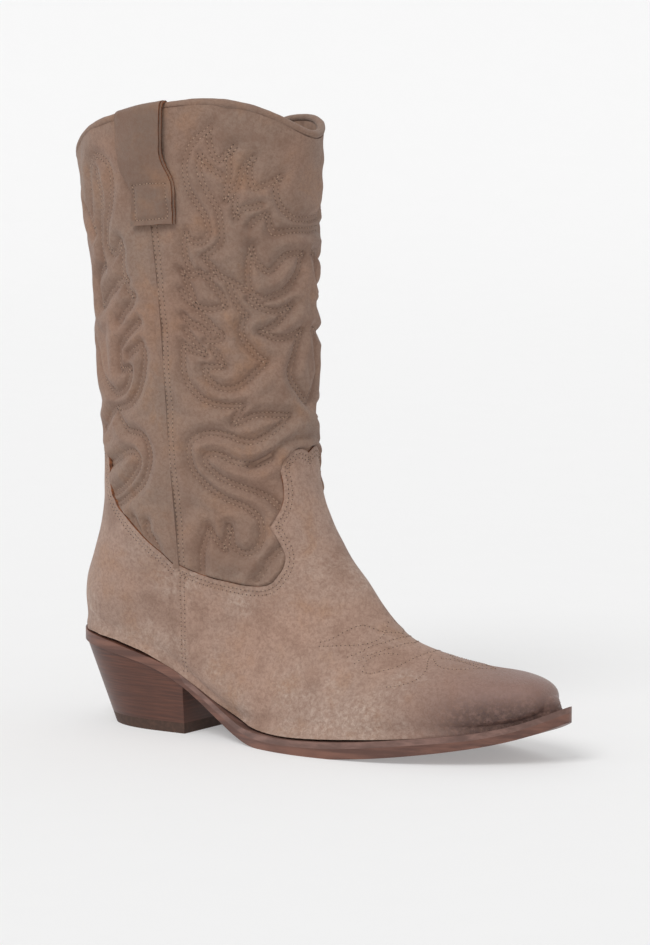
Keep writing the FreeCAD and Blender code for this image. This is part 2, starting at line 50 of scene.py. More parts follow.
# Sections of the master surface, from above the topline down to the toe tip:
# front or top point (x, z), back or bottom point (x, z), half width,
# place of the widest point (-1 bottom .. 1 top), upper and lower roundness.
# The front and back places began as a least-squares fit to an outline, and many
# were changed afterwards.
STATIONS = [
    (144.0, 345.0, -9.3, 345.0, 50.0, 0.0, 1.75, 1.85),
    (138.0, 300.0, -5.5, 300.0, 49.0, 0.0, 1.75, 1.85),
    (135.3, 250.0, 3.7, 250.0, 47.0, 0.0, 1.78, 1.9),
    (134.3, 200.0, 10.0, 198.0, 45.0, 0.0, 1.8, 1.95),
    (134.0, 165.0, 14.0, 150.0, 43.0, 0.0, 1.85, 2.0),
    (134.6, 139.0, 14.6, 112.0, 41.0, 0.0, 1.9, 2.1),
    (141.7, 116.6, 5.0, 80.0, 38.0, -0.1, 1.9, 2.2),
    (154.5, 98.8, 3.0, 60.0, 34.5, -0.3, 1.9, 2.4),
    (168.0, 84.0, 15.0, 49.5, 31.0, -0.5, 1.9, 3.0),
    (181.6, 67.6, 56.0, 40.0, 30.0, -0.6, 1.9, 4.0),
    (196.5, 53.4, 126.0, 9.5, 36.5, -0.65, 1.9, 4.5),
    (224.8, 45.4, 187.0, 10.8, 41.0, -0.6, 2.0, 4.5),
    (251.5, 43.2, 237.0, 16.3, 29.0, -0.5, 2.1, 4.0),
    (266.0, 40.6, 260.5, 21.0, 18.0, -0.4, 2.3, 3.5),
    (272.8, 36.8, 270.5, 24.9, 11.0, -0.2, 2.4, 3.0),
    (275.4, 32.4, 274.6, 27.0, 5.0, -0.1, 2.2, 2.4),
]
HEEL_STATION = 7.5           # from here on the sections' lower ends rest on the sole
SOLE_BED = 0.1               # and this far from the seat and welt line
# Lines along the boot: x, then height, half width or width.
SEAT_AND_WELT_TOP = [
    (-20.0, 51.5), (0.0, 49.0), (15.0, 47.1), (31.0, 44.3), (50.0, 39.8), (68.0, 34.4),
    (77.0, 30.0), (93.0, 20.6), (109.0, 12.3), (119.0, 9.0), (134.0, 7.4), (163.0, 7.6),
    (180.0, 8.6), (197.0, 10.2), (225.0, 13.4), (241.0, 15.3), (256.0, 18.0),
    (268.0, 21.6), (276.0, 24.9), (290.0, 31.7),
]
TOPLINE = [
    (-30.0, 290.0), (-4.5, 290.5), (3.0, 291.0), (12.0, 296.1), (22.0, 301.9), (37.0, 307.1),
    (52.0, 310.4), (68.0, 314.0), (84.0, 316.9), (98.0, 319.0), (108.0, 319.3),
    (117.0, 318.3), (126.0, 315.5), (133.0, 311.6), (138.0, 307.3), (160.0, 303.0),
]
TOP_TILT = 0.143             # the topline falls this much per mm towards the inner side
SOLE_HALF_WIDTHS = [
    (0.0, 0.0), (3.0, 13.0), (10.0, 22.5), (22.0, 28.7), (40.0, 31.0), (75.0, 30.3),
    (95.0, 31.0), (110.0, 34.5), (128.0, 41.0), (147.0, 45.8), (165.0, 47.3),
    (182.0, 46.6), (200.0, 44.5), (220.0, 39.5), (240.0, 32.0), (262.0, 20.0),
    (277.0, 10.0), (283.0, 5.0), (BOOT_LENGTH, 0.0),
]
WELT_SHOWING = [(0.0, 0.4), (75.0, 0.5), (95.0, 1.0), (130.0, 1.6), (200.0, 1.8),
                (240.0, 2.8), (285.0, 4.5)]

# Pull strap in the flat chart: edges as (height, distance forward of the seam).
STRAP_BACK_EDGE = [(262.0, -9.0), (268.0, -8.6), (281.0, -8.2), (284.0, -9.6),
                   (288.0, -12.0), (293.0, -13.8), (300.0, -14.6), (310.0, -15.0),
                   (325.0, -15.2)]
STRAP_FRONT_EDGE = [(264.0, 15.4), (270.0, 16.0), (283.0, 15.8), (287.0, 14.6),
                    (290.5, 12.9), (295.0, 11.5), (300.0, 11.0), (312.0, 11.5),
                    (325.0, 12.6)]
STRAP_BOX = [[(-6.0, 264.6), (3.0, 265.6), (13.2, 266.8)],
             [(13.2, 266.8), (13.2, 276.0), (12.8, 284.2)],
             [(12.8, 284.2), (2.0, 283.6), (-6.0, 282.4)],
             [(-6.0, 282.4), (-6.2, 274.0), (-6.0, 264.6)]]
SIDE_SEAM = [(66.0, 360.0), (69.0, 265.0), (72.5, 230.0), (74.5, 197.0), (76.0, 160.0),
             (77.5, 122.0), (77.3, 87.0), (74.7, 60.0), (75.0, 38.0), (76.0, -30.0)]
COUNTER_TOP = [(77.3, 87.0), (70.7, 93.2), (62.2, 99.3), (53.3, 106.5), (45.8, 112.0),
               (36.6, 118.9), (33.0, 126.0), (32.0, 134.0), (28.0, 141.0), (22.0, 145.5),
               (-30.0, 158.0)]

# Edge of the vamp and its tongue: distance forward of the side seam, height.
VAMP_EDGE = [
    [(-2.0, 89.5), (10.0, 85.5), (20.0, 83.0), (31.0, 81.0), (42.0, 79.7), (50.0, 80.0),
     (55.0, 82.0), (58.5, 86.0), (61.0, 90.0), (61.8, 94.0), (61.0, 98.0), (57.0, 105.0),
     (53.5, 110.3)],
    [(53.5, 110.3), (57.0, 115.5), (60.0, 120.5), (61.6, 126.0), (61.6, 133.0),
     (60.6, 139.0), (61.5, 143.3)],
    [(61.5, 143.3), (66.0, 146.8), (70.0, 148.8), (74.0, 149.0), (78.0, 147.6),
     (84.0, 144.5), (92.0, 144.0)],
]

# Twin stitch lines of the front shaft panel: distance forward of the seam, height.
FRONT_LINES = [
    [(36.8, 312.5), (34, 309.8), (30, 307.5), (26.3, 303.3), (24.4, 300), (22.8, 296),
     (22.3, 292), (22.4, 288), (23, 284), (24, 280), (26, 276.2), (28.6, 272.2), (31, 268),
     (32, 263.5), (32.3, 260), (31, 256.8), (28, 254.6), (24.5, 254.5), (21.8, 256.3),
     (20.5, 259.3)],
    [(20.5, 259.3), (19.2, 256), (18.5, 252), (18.3, 248), (19.3, 244), (20.8, 240.5)],
    [(30.7, 299), (30.2, 295), (29.7, 291), (30.5, 287.5), (31.5, 284), (33.2, 280),
     (35, 276.8), (37, 273.2), (38.6, 269.5), (38.8, 265.5), (38.9, 261), (38.8, 257.5),
     (37.8, 254.3), (35, 251.6), (31.5, 249.3), (28, 247)],
    [(28, 247), (30, 244.5), (32.3, 241.5), (34, 239)],
    [(31, 298.5), (34, 294), (37, 291), (41, 289)],
    [(35.7, 309), (35.9, 304.5), (36.8, 301), (38, 298), (40, 296), (42.5, 297.3),
     (45.5, 300), (48.8, 303)],
    [(48.8, 303), (45.5, 298), (45.2, 294), (45.2, 291), (44.5, 286), (43.2, 281),
     (42.6, 275.5)],
    [(42.6, 275.5), (45, 278), (48, 282), (50, 286), (51.5, 290.5), (54.5, 293.8),
     (58.2, 297.5)],
    [(58.2, 297.5), (55.9, 293), (55.5, 288.5), (55.8, 284), (57.3, 282), (60.3, 282.6),
     (64.5, 284), (68, 285.5), (71.6, 287.7)],
    [(71.6, 287.7), (68.7, 282.5), (68.5, 279), (69.3, 275.5), (70.8, 272), (73.5, 268.9),
     (76.5, 266.6), (80, 265.6), (84.5, 265.5), (92, 264.5)],
    [(47.5, 277), (46.9, 272), (46.8, 266.5)],
    [(46.8, 266.5), (49, 270.3), (52, 272), (56, 272.3), (60.3, 273.5)],
    [(53.5, 263), (56, 265.5), (60, 267.6), (63.2, 268.5)],
    [(63.2, 268.5), (63.8, 264.5), (64.3, 261), (65.5, 258.9), (69, 259.3), (73, 259.9),
     (77.5, 260.1), (82, 260.1), (92, 259)],
    [(53.2, 252.3), (53.6, 247.5), (55.4, 243.7), (57.8, 240.8), (60.5, 239.7), (63, 240.9),
     (65.5, 243.4), (68.3, 246.2), (72, 248), (76, 248.6), (81.7, 248.3)],
    [(81.7, 248.3), (78.8, 244.8), (77.5, 241), (75.8, 238), (73.3, 235), (71, 232.3),
     (68, 229.9), (64.5, 228.4), (61, 227), (57, 225.8), (53.3, 223.3)],
    [(53.2, 252.3), (51.3, 247), (50.2, 242.5), (49.5, 238), (49.4, 233.5), (50.5, 229),
     (54, 226.7)],
    [(48.5, 226), (51.5, 223), (54.5, 221.3), (58.5, 220), (63, 219.8), (67.3, 220.6),
     (72, 222.7)],
    [(72, 222.7), (68, 218.6), (65.5, 216.3), (63, 214), (60, 212), (56.5, 210.5),
     (53.2, 209.4)],
    [(53.2, 209.4), (56.3, 207.8), (59.3, 206.3), (63.5, 205.7), (67.5, 206.1), (71, 207.3),
     (76.8, 209.6)],
    [(76.8, 209.6), (74.5, 204.5), (73.2, 201.5), (72, 198.5), (70.7, 195.5), (69.3, 192.3),
     (68.3, 188.8), (68.3, 185.5), (70, 182), (72.7, 178.5), (75.3, 175), (78.3, 172.3)],
    [(15.3, 239.8), (18.5, 237.8), (22, 237.8), (25, 239.5)],
    [(25, 239.5), (28, 237), (33, 239.5)],
    [(33, 239.5), (37, 236.5), (41, 234.5), (44.5, 232.3), (48, 230.2)],
    [(15.4, 239.8), (17.2, 235.5), (18.5, 231), (19.8, 227), (20.8, 223)],
    [(29, 236), (31, 232.5), (33.5, 229.5), (35.5, 226.5), (36.5, 222)],
    [(36.5, 222), (32, 221.3), (28, 220.6), (24, 221.5), (20.5, 223)],
    [(13.9, 229.8), (16, 226), (19, 223.5), (23, 221.8)],
    [(14.2, 216.8), (17, 214), (20.5, 212.5), (24, 210.5), (27, 208)],
    [(21.5, 220.5), (24.8, 217), (27.5, 214), (30, 211), (33.5, 208.3)],
    [(33.5, 208.3), (33.3, 205.6), (29, 204.5), (25, 204.6)],
    [(14.8, 210.3), (17, 206.5), (19.5, 203.5), (22.5, 200.5), (24.3, 197.3)],
    [(12.9, 202.8), (16, 200.3), (20, 198.8), (24, 198)],
    [(28, 201), (30.5, 198), (32, 194.5), (33.8, 191.8)],
    [(33.8, 191.8), (29, 191.5), (23.4, 191.8)],
    [(39.5, 233), (40.5, 228.5), (42, 224.5), (44, 221), (46.8, 217.4)],
    [(46.8, 217.4), (44.9, 214.5), (43.7, 211), (43.8, 208), (44.8, 204.8), (46.6, 201.8),
     (49, 199), (51.8, 196.2), (55.6, 194.4)],
    [(55.6, 194.4), (53, 191.5), (49.5, 188.7), (46, 185.7), (42.5, 183), (38.5, 181),
     (34.5, 180.3), (30.5, 181), (27, 183.5), (24.5, 186.5), (23.4, 190.5)],
    [(12.9, 202.6), (12.3, 199), (12.2, 195), (12.2, 190), (12.7, 186.5), (14, 183),
     (16.5, 179.5), (20, 176), (24.5, 173.6), (29.5, 172), (35, 171.7), (42, 172)],
    [(42, 172), (40, 169), (38.3, 166), (36.5, 162.6)],
    [(36.5, 162.6), (41.3, 164), (45, 166), (50, 167.2), (55, 167.2), (60, 166.8),
     (66.3, 166.6)],
    [(66.3, 166.6), (62.5, 162.5), (58, 159.5), (53.5, 156.8), (48, 154), (43.5, 153.5),
     (39, 154.5), (35, 156.3), (30, 157.6), (24.7, 158), (20, 157), (16, 155),
     (13.2, 152.2), (12.3, 148.5), (12.3, 145), (13, 140.8), (15, 136.5), (18, 133.3),
     (22, 129.5), (26.5, 126.5), (31, 124), (36, 122), (41, 119.8), (45, 117),
     (47.7, 113.5), (48.1, 109), (48, 105), (47, 101.5), (45, 98.8), (41.5, 96.7),
     (38, 96.5), (34.5, 98), (32, 101), (31.9, 105), (31, 110)],
    [(31, 110), (30.2, 105.5), (29, 101.5), (28.5, 97.5)],
    [(28.5, 97.5), (25.5, 100.5), (22.5, 104), (20.5, 108.4)],
    [(20.5, 108.4), (17.5, 102.5), (15.5, 97.5), (14.8, 92), (14.5, 86.5)],
    [(55, 145), (51, 143), (46, 142.1), (40, 142.5), (35, 143.7), (31, 145.8),
     (26.5, 147.3), (22.5, 147), (20.8, 144.5), (21.5, 141.5), (24.5, 138), (28.5, 135),
     (33, 132.8), (38, 131), (43, 129.4), (48, 127.5), (52.5, 125), (55.5, 122.5),
     (58.5, 119.5)],
    [(58.3, 99.5), (53.5, 95), (51, 91.5), (49, 87.5), (46, 83.5)],
]
# The same for the back panel; distances behind the seam are below zero.
BACK_LINES = [
    [(-37, 296), (-33, 295.6), (-29.5, 294.5), (-26.5, 292.3), (-24.8, 289), (-24.2, 285),
     (-24.3, 281), (-25, 276.5), (-26.5, 271.5), (-28.5, 267), (-30.8, 262.5), (-32.8, 258),
     (-33.6, 254), (-33.3, 250.5), (-31, 247.3)],
    [(-37.5, 289), (-36.5, 284), (-35, 279.5), (-34, 275), (-34.3, 270.5), (-36, 266),
     (-38, 261.5), (-39.6, 257), (-40.2, 252), (-40.2, 247), (-39.3, 243.5), (-37.5, 240)],
    [(-37, 296), (-42, 292.5), (-45, 288), (-45.5, 283), (-44.8, 278), (-45.5, 273),
     (-47, 268), (-47.8, 262), (-47.3, 256)],
    [(-47.3, 256), (-51, 261), (-54.5, 265), (-59, 268)],
    [(-31, 247.3), (-28, 246.2), (-24.5, 248.2), (-21.3, 253.5)],
    [(-21.3, 253.5), (-20.2, 249), (-20.3, 244.5), (-20.6, 240), (-20.5, 236.5),
     (-18.5, 233.5)],
    [(-18.5, 233.5), (-23, 233), (-27, 230.8), (-31, 228.3), (-35, 226), (-39, 223),
     (-43, 219.8), (-47, 218)],
    [(-37.5, 240), (-42, 238), (-46, 234.5), (-48, 230), (-47.5, 225), (-47, 218)],
    [(-18.5, 233.5), (-19.5, 230), (-18, 227.5), (-15, 226)],
    [(-15, 226), (-17.5, 222), (-20.5, 219.3), (-24, 217), (-27, 213.8), (-30, 211.8)],
    [(-13.3, 213), (-16.5, 210.3), (-20, 207.8), (-23.5, 205.2), (-27, 202.3),
     (-30.5, 199)],
    [(-12.7, 201.5), (-16.5, 199.3), (-20.5, 197), (-23.5, 195)],
    [(-11.6, 198), (-11.3, 193.5), (-12.5, 189), (-13.5, 185), (-15, 181), (-17, 177),
     (-19.5, 173.8), (-22.5, 171), (-26.5, 169), (-31, 167.8), (-36.5, 167)],
    [(-36.5, 167), (-34.5, 163.5), (-32, 160), (-29.5, 157.8)],
    [(-31, 196), (-31, 191), (-31.3, 187)],
    [(-31.3, 187), (-27, 187.3), (-22.8, 188.4)],
    [(-22.8, 188.4), (-23.5, 184.5), (-25.5, 180.3), (-28.5, 177), (-32, 175), (-36, 174.3),
     (-41, 175.8), (-46, 178.5), (-50, 181.5), (-53, 186), (-55, 192), (-59, 198)],
    [(-29.5, 157.8), (-26, 156), (-21.5, 155.7), (-17.5, 155.3), (-14.3, 152.8),
     (-12.7, 149), (-12, 145), (-12.5, 141), (-14, 137), (-16, 133), (-18.5, 129.5),
     (-22, 126.7), (-26.5, 124), (-31.5, 121.3), (-37, 118.3), (-43, 116.3)],
    [(-36.5, 167), (-43, 164), (-48, 160), (-53, 156), (-60, 154)],
    [(-52, 136), (-45, 138), (-36, 141.5), (-30, 144.5), (-25, 145.5), (-21.3, 144),
     (-19.8, 141), (-21.3, 137.5), (-24, 134.5), (-27.5, 131), (-32, 128), (-37, 125),
     (-43, 122.5)],
    [(-26.5, 110.5), (-23, 104.5)],
    [(-17, 109), (-16.5, 104), (-14, 100.5), (-11.5, 96.5)],
]
# Leaves stitched over the toes, outer half: x, sideways from the centreline.
MEDALLION = [
    [(158, -24), (163, -22), (169, -18), (176, -13), (183, -10), (188, -6), (191, 0)],
    [(158, -25), (164, -23.5), (172, -21), (179, -18), (184, -14), (186, -9), (184.5, -3)],
    [(174, -24), (179, -21), (184, -16), (189, -11), (192, -5), (193, 0)],
    [(179, -25), (183, -21), (188, -17), (194, -10), (197, -3), (198, 0)],
    [(185, -27), (190, -27), (196, -24), (200, -21), (204, -15), (207, -8), (209, 0)],
    [(185, -27), (184, -23), (187, -19.5), (192, -16), (197, -14)],
    [(202, -32), (207, -31), (213, -28), (216, -24), (216, -18), (213, -12), (210.5, -5)],
    [(214, -8), (219, -12.5), (225, -13.5), (232, -10), (238, -4), (244, 0)],
    [(216, -4), (222, -1), (230, -1), (237, -3.5)],
]


# ---- small maths --------------------------------------------------------
def hermite(points):
    """A smooth function through (x, y) points, straight beyond its ends."""
    table = np.array(sorted(points), float)
    xs, ys = table[:, 0], table[:, 1]
    steps = np.diff(xs)
    slopes = np.diff(ys) / steps
    inner = (slopes[1:] * steps[:-1] + slopes[:-1] * steps[1:]) / (steps[:-1] + steps[1:])
    tangents = np.concatenate([slopes[:1], inner, slopes[-1:]])

    def value(x):
        x = np.asarray(x, float)
        i = np.clip(np.searchsorted(xs, x, side="right") - 1, 0, len(steps) - 1)
        u = np.clip((x - xs[i]) / steps[i], 0, 1)
        smooth = ys[i] + (ys[i + 1] - ys[i]) * u * u * (3 - 2 * u)
        smooth = smooth + steps[i] * tangents[i] * u * (1 - u) ** 2
        smooth = smooth + steps[i] * tangents[i + 1] * u * u * (u - 1)
        low = np.minimum(x - xs[0], 0) * tangents[0]
        high = np.maximum(x - xs[-1], 0) * tangents[-1]
        return smooth + low + high

    return value


def toe_bend(x):
    """Sideways place of the foot's centreline."""
    return TOE_BEND * np.maximum(0.0, (x - BEND_START) / (BOOT_LENGTH - BEND_START)) ** 2


def ease(x, low, high):
    """0 below low, 1 above high, smooth between."""
    u = np.clip((x - low) / (high - low), 0, 1)
    return u * u * (3 - 2 * u)


def spline(points, step=0.4):
    """Evenly spaced points on a smooth line through the given ones."""
    p = np.array(points, float)
    if len(p) == 2:
        fine = np.linspace(p[0], p[1], 60)
    else:
        p = np.vstack([2 * p[0] - p[1], p, 2 * p[-1] - p[-2]])
        pieces = []
        for a, b, c, d in zip(p, p[1:], p[2:], p[3:]):
            u = np.linspace(0, 1, 24, endpoint=False)[:, None]
            pieces.append(0.5 * (2 * b + (c - a) * u + (2 * a - 5 * b + 4 * c - d) * u ** 2
                                 + (3 * b - a - 3 * c + d) * u ** 3))
        fine = np.vstack(pieces + [p[-2:-1]])
    return even(fine, step)


def even(fine, step):
    """The same line with points step apart."""
    lengths = np.concatenate([[0], np.cumsum(np.linalg.norm(np.diff(fine, axis=0), axis=1))])
    count = max(2, int(round(lengths[-1] / step)) + 1)
    goal = np.linspace(0, lengths[-1], count)
    return np.stack([np.interp(goal, lengths, fine[:, k]) for k in range(fine.shape[1])], 1)


def offset(line, distance):
    """A 2-D line moved sideways."""
    run = np.gradient(line, axis=0)
    run /= np.linalg.norm(run, axis=1)[:, None] + 1e-9
    return line + distance * np.stack([-run[:, 1], run[:, 0]], 1)


def tree_of(points):
    """A search tree over 2-D or 3-D points."""
    tree = kdtree.KDTree(len(points))
    for i, p in enumerate(points):
        tree.insert((p[0], p[1], p[2] if len(p) > 2 else 0.0), i)
    tree.balance()
    return tree


def distance_to(tree, a, b, far=40.0):
    """Distance from each 2-D place to the tree's nearest point."""
    found = [tree.find((x, y, 0.0))[2] for x, y in zip(a.ravel(), b.ravel())]
    return np.minimum(np.array(found), far).reshape(a.shape)


def waves(points, size, seed):
    """Smooth random heights, about -1 to 1, over 3-D points in millimetres."""
    rng = np.random.default_rng(seed)
    total = np.zeros(points.shape[:-1])
    for _ in range(14):
        direction = rng.normal(size=3)
        direction *= 2 * math.pi / (size * rng.uniform(0.6, 1.6)) / np.linalg.norm(direction)
        total += np.sin(points @ direction + rng.uniform(0, 2 * math.pi))
    return total / math.sqrt(14)


# ---- the master surface -------------------------------------------------
seat_height = hermite(SEAT_AND_WELT_TOP)
topline = hermite(TOPLINE)
welt_showing = hermite(WELT_SHOWING)
sole_half_width = hermite(SOLE_HALF_WIDTHS)
seam_x = hermite([(z, x) for x, z in SIDE_SEAM])
counter_top = hermite(COUNTER_TOP)
strap_edges = (hermite(STRAP_BACK_EDGE), hermite(STRAP_FRONT_EDGE))
station_value = [hermite([(i, row[k]) for i, row in enumerate(STATIONS)]) for k in range(8)]


def top_height(points):
    """Height of the topline over each place."""
    return topline(points[..., 0]) - TOP_TILT * points[..., 1]


def section_ring(v, distance):
    """Points round one closed section of the boot, grown by distance."""
    values = [float(f(v)) for f in station_value]
    if v > HEEL_STATION:
        values[3] = max(values[3], float(seat_height(values[2])) + SOLE_BED)
    front_x, front_z, back_x, back_z, width, widest, upper, lower = values
    length = math.hypot(front_x - back_x, front_z - back_z)
    phi = np.linspace(0, math.pi, 161)
    c, s = -np.cos(phi), np.sin(phi)
    power = np.where(c < 0, lower, upper)
    reach = np.where(c < 0, 1 + widest, 1 - widest)
    along = (widest + np.sign(c) * reach * np.abs(c) ** (2 / power)) * length / 2
    half = np.stack([along, width * np.abs(s) ** (2 / power)], 1)
    lengths = np.concatenate([[0], np.cumsum(np.linalg.norm(np.diff(half, axis=0), axis=1))])
    goal = np.linspace(0, lengths[-1], RING_POINTS // 2 + 1)
    half = np.stack([np.interp(goal, lengths, half[:, k]) for k in range(2)], 1)
    run = np.zeros_like(half)
    run[1:-1] = half[2:] - half[:-2]
    normal = np.stack([-run[:, 1], run[:, 0]], 1)
    normal /= np.linalg.norm(normal, axis=1)[:, None] + 1e-9
    normal[0], normal[-1] = (-1, 0), (1, 0)
    half = half + normal * distance
    back = half[1:-1][::-1]
    along = np.concatenate([half[:, 0], back[:, 0]])
    across = np.concatenate([-half[:, 1], back[:, 1]])
    axis_x, axis_z = (front_x - back_x) / length, (front_z - back_z) / length
    x = (front_x + back_x) / 2 + axis_x * along
    z = (front_z + back_z) / 2 + axis_z * along
    return np.stack([x, across + toe_bend(x), z], 1)


def cubic_weights(places, count, closed):
    """Weights of count poles at each place of a uniform cubic curve."""
    base = np.floor(places).astype(int)
    if not closed:
        base = np.clip(base, 0, count - 2)
    t = places - base
    shares = [(1 - t) ** 3 / 6, (3 * t ** 3 - 6 * t ** 2 + 4) / 6,
              (-3 * t ** 3 + 3 * t ** 2 + 3 * t + 1) / 6, t ** 3 / 6]
    weights = np.zeros((len(places), count))
    rows = np.arange(len(places))
    for k, share in enumerate(shares):
        i = base - 1 + k
        if closed:
            np.add.at(weights, (rows, i % count), share)
            continue
        before, after = i < 0, i >= count
        inside = ~(before | after)
        np.add.at(weights, (rows[inside], i[inside]), share[inside])
        for out, edge, step in ((before, 0, 1), (after, count - 1, -1)):
            np.add.at(weights, (rows[out], np.full(out.sum(), edge)), 2 * share[out])
            np.add.at(weights, (rows[out], np.full(out.sum(), edge + step)), -share[out])
    return weights


def surface(distance, first, last):
    """A fine grid of points on the master surface grown by distance."""
    stops = np.arange(0, int(LAST_STATION * ROWS_PER_STATION) + 1) / ROWS_PER_STATION
    poles = np.array([section_ring(v, distance) for v in stops])
    coarse = np.linspace(first, last, 400) * ROWS_PER_STATION
    spread = cubic_weights(coarse, len(stops), False)
    rough = np.einsum("vr,ruc->vuc", spread, poles)
    gaps = np.linalg.norm(np.diff(rough, axis=0), axis=2).mean(1)
    lengths = np.concatenate([[0], np.cumsum(gaps)])
    rows = int(lengths[-1] / CELL)
    places = np.interp(np.linspace(0, lengths[-1], rows), lengths, coarse)
    along = cubic_weights(places, len(stops), False)
    around = cubic_weights(np.arange(COLUMNS) * RING_POINTS / COLUMNS, RING_POINTS, True)
    return np.einsum("vr,ruc,wu->vwc", along, poles, around)


def grid_normals(points):
    """Outward unit normals of a grid that closes in its second direction."""
    around = np.roll(points, -1, 1) - np.roll(points, 1, 1)
    along = np.gradient(points, axis=0)
    normal = np.cross(around, along)
    normal /= np.linalg.norm(normal, axis=2)[:, :, None] + 1e-9
    middle = points.mean(1, keepdims=True)
    if ((points - middle) * normal).sum() < 0:
        normal = -normal
    return normal


def seam_distance(points):
    """Distance round each ring from its side seam, forward above zero."""
    rows, columns, _ = points.shape
    half = columns // 2
    result = np.zeros((rows, columns))
    for side in (1, -1):
        order = np.arange(half + 1) if side == 1 else (-np.arange(half + 1)) % columns
        p = points[:, order]
        steps = np.linalg.norm(np.diff(p, axis=1), axis=2)
        run = np.concatenate([np.zeros((rows, 1)), np.cumsum(steps, axis=1)], 1)
        ahead = p[:, :, 0] - seam_x(np.clip(p[:, :, 2], 60, 345))
        k = np.argmax(ahead > 0, axis=1)
        k = np.maximum(k, 1)
        r = np.arange(rows)
        share = -ahead[r, k - 1] / (ahead[r, k] - ahead[r, k - 1])
        start = run[r, k - 1] + share * (run[r, k] - run[r, k - 1])
        result[:, order] = run - start[:, None]
    return result


# ---- meshes from grids ---------------------------------------------------
def grid_quads(rows, columns, closed=True):
    """Four corners of each cell; a closed grid's last column joins its first."""
    r = np.arange(rows - 1)[:, None]
    c = np.arange(columns if closed else columns - 1)[None, :]
    d = (c + 1) % columns
    quads = np.stack([r * columns + c, r * columns + d, (r + 1) * columns + d,
                      (r + 1) * columns + c], 2)
    return quads.reshape(-1, 4)


def trimmed(data, quads, field):
    """The mesh where field is above zero: new data rows, faces, and cut edges."""
    inside = field > 0
    count = inside[quads].sum(1)
    whole = quads[count == 4]
    mixed = quads[(count > 0) & (count < 4)]
    tris = np.vstack([mixed[:, [0, 1, 2]], mixed[:, [0, 2, 3]]])
    number = inside[tris].sum(1)
    whole_tris = tris[number == 3]
    one, two = tris[number == 1], tris[number == 2]
    turned = []
    for part, lone in ((one, True), (two, False)):
        k = np.argmax(inside[part] == lone, axis=1)
        turned.append(np.take_along_axis(part, (k[:, None] + np.arange(3)) % 3, 1))
    one, two = turned
    pairs = np.vstack([one[:, [0, 1]], one[:, [0, 2]], two[:, [0, 1]], two[:, [0, 2]]])
    keys, where = np.unique(np.sort(pairs, 1), axis=0, return_inverse=True)
    where = where.ravel()
    share = field[keys[:, 0]] / (field[keys[:, 0]] - field[keys[:, 1]])
    fresh = data[keys[:, 0]] * (1 - share[:, None]) + data[keys[:, 1]] * share[:, None]
    where = where + len(data)
    a, b = np.split(where[:2 * len(one)], 2)
    c, d = np.split(where[2 * len(one):], 2)
    small = [np.stack([one[:, 0], a, b], 1), np.stack([c, two[:, 1], two[:, 2]], 1),
             np.stack([c, two[:, 2], d], 1), whole_tris]
    edges = np.vstack([np.stack([b, a], 1), np.stack([c, d], 1)])
    data = np.vstack([data, fresh])
    faces = [whole, np.vstack(small)]
    used = np.unique(np.concatenate([f.ravel() for f in faces] + [edges.ravel()]))
    index = np.full(len(data), -1)
    index[used] = np.arange(len(used))
    return data[used], [index[f] for f in faces], index[edges]


def to_frame(points):
    """Millimetres from the heel back to metres in the boot's frame."""
    return (points - np.array([ORIGIN_X, 0, 0])) / 1000


def ride_on_boot(name, mesh):
    """An object of a mesh that stays with the boot."""
    obj = bpy.data.objects.new(name, mesh)
    bpy.context.scene.collection.objects.link(obj)
    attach(obj, "root")
    return obj


def add_mesh(name, points, faces, materials, replaces=(), face_material=None,
             attributes=None):
    """A smooth mesh object that rides on the boot."""
    mesh = bpy.data.meshes.new(name)
    flat = [row for block in faces for row in np.asarray(block).tolist()]
    mesh.from_pydata(to_frame(points).tolist(), [], flat)
    for material in materials:
        mesh.materials.append(material)
    if face_material is not None:
        mesh.polygons.foreach_set("material_index", np.asarray(face_material, np.int32))
    mesh.polygons.foreach_set("use_smooth", np.ones(len(flat), bool))
    for key, values in (attributes or {}).items():
        made = mesh.attributes.new(key, "FLOAT", "POINT")
        made.data.foreach_set("value", np.asarray(values, np.float32))
    mesh.update()
    obj = ride_on_boot(name, mesh)
    if replaces:
        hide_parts(*replaces)


def add_panel(name, points, normals, relief, field, materials, node):
    """One leather panel cut from a grid, with a raw edge where it was cut."""
    rows, columns, _ = points.shape
    data = np.concatenate([points, normals, relief[:, :, None]], 2).reshape(-1, 7)
    data, faces, cut = trimmed(data, grid_quads(rows, columns), field.ravel())
    top = data[:, :3]
    rim = np.unique(cut)
    index = np.zeros(len(data), int)
    index[rim] = np.arange(len(rim))
    rim_points = top[rim]
    rim_normals = data[rim, 3:6]
    low = rim_points - rim_normals * EDGE_THICKNESS
    base = len(top)
    upper = base + index[cut]
    lower = base + len(rim) + index[cut]
    wall = np.stack([upper[:, 0], upper[:, 1], lower[:, 1], lower[:, 0]], 1)
    verts = np.vstack([top, rim_points, low])
    kinds = np.concatenate([np.zeros(len(faces[0]) + len(faces[1])), np.ones(len(wall))])
    levels = np.concatenate([data[:, 6], np.zeros(2 * len(rim))])
    add_mesh(name, verts, [faces[0], faces[1], wall], materials, [node], kinds,
             {"relief": levels})


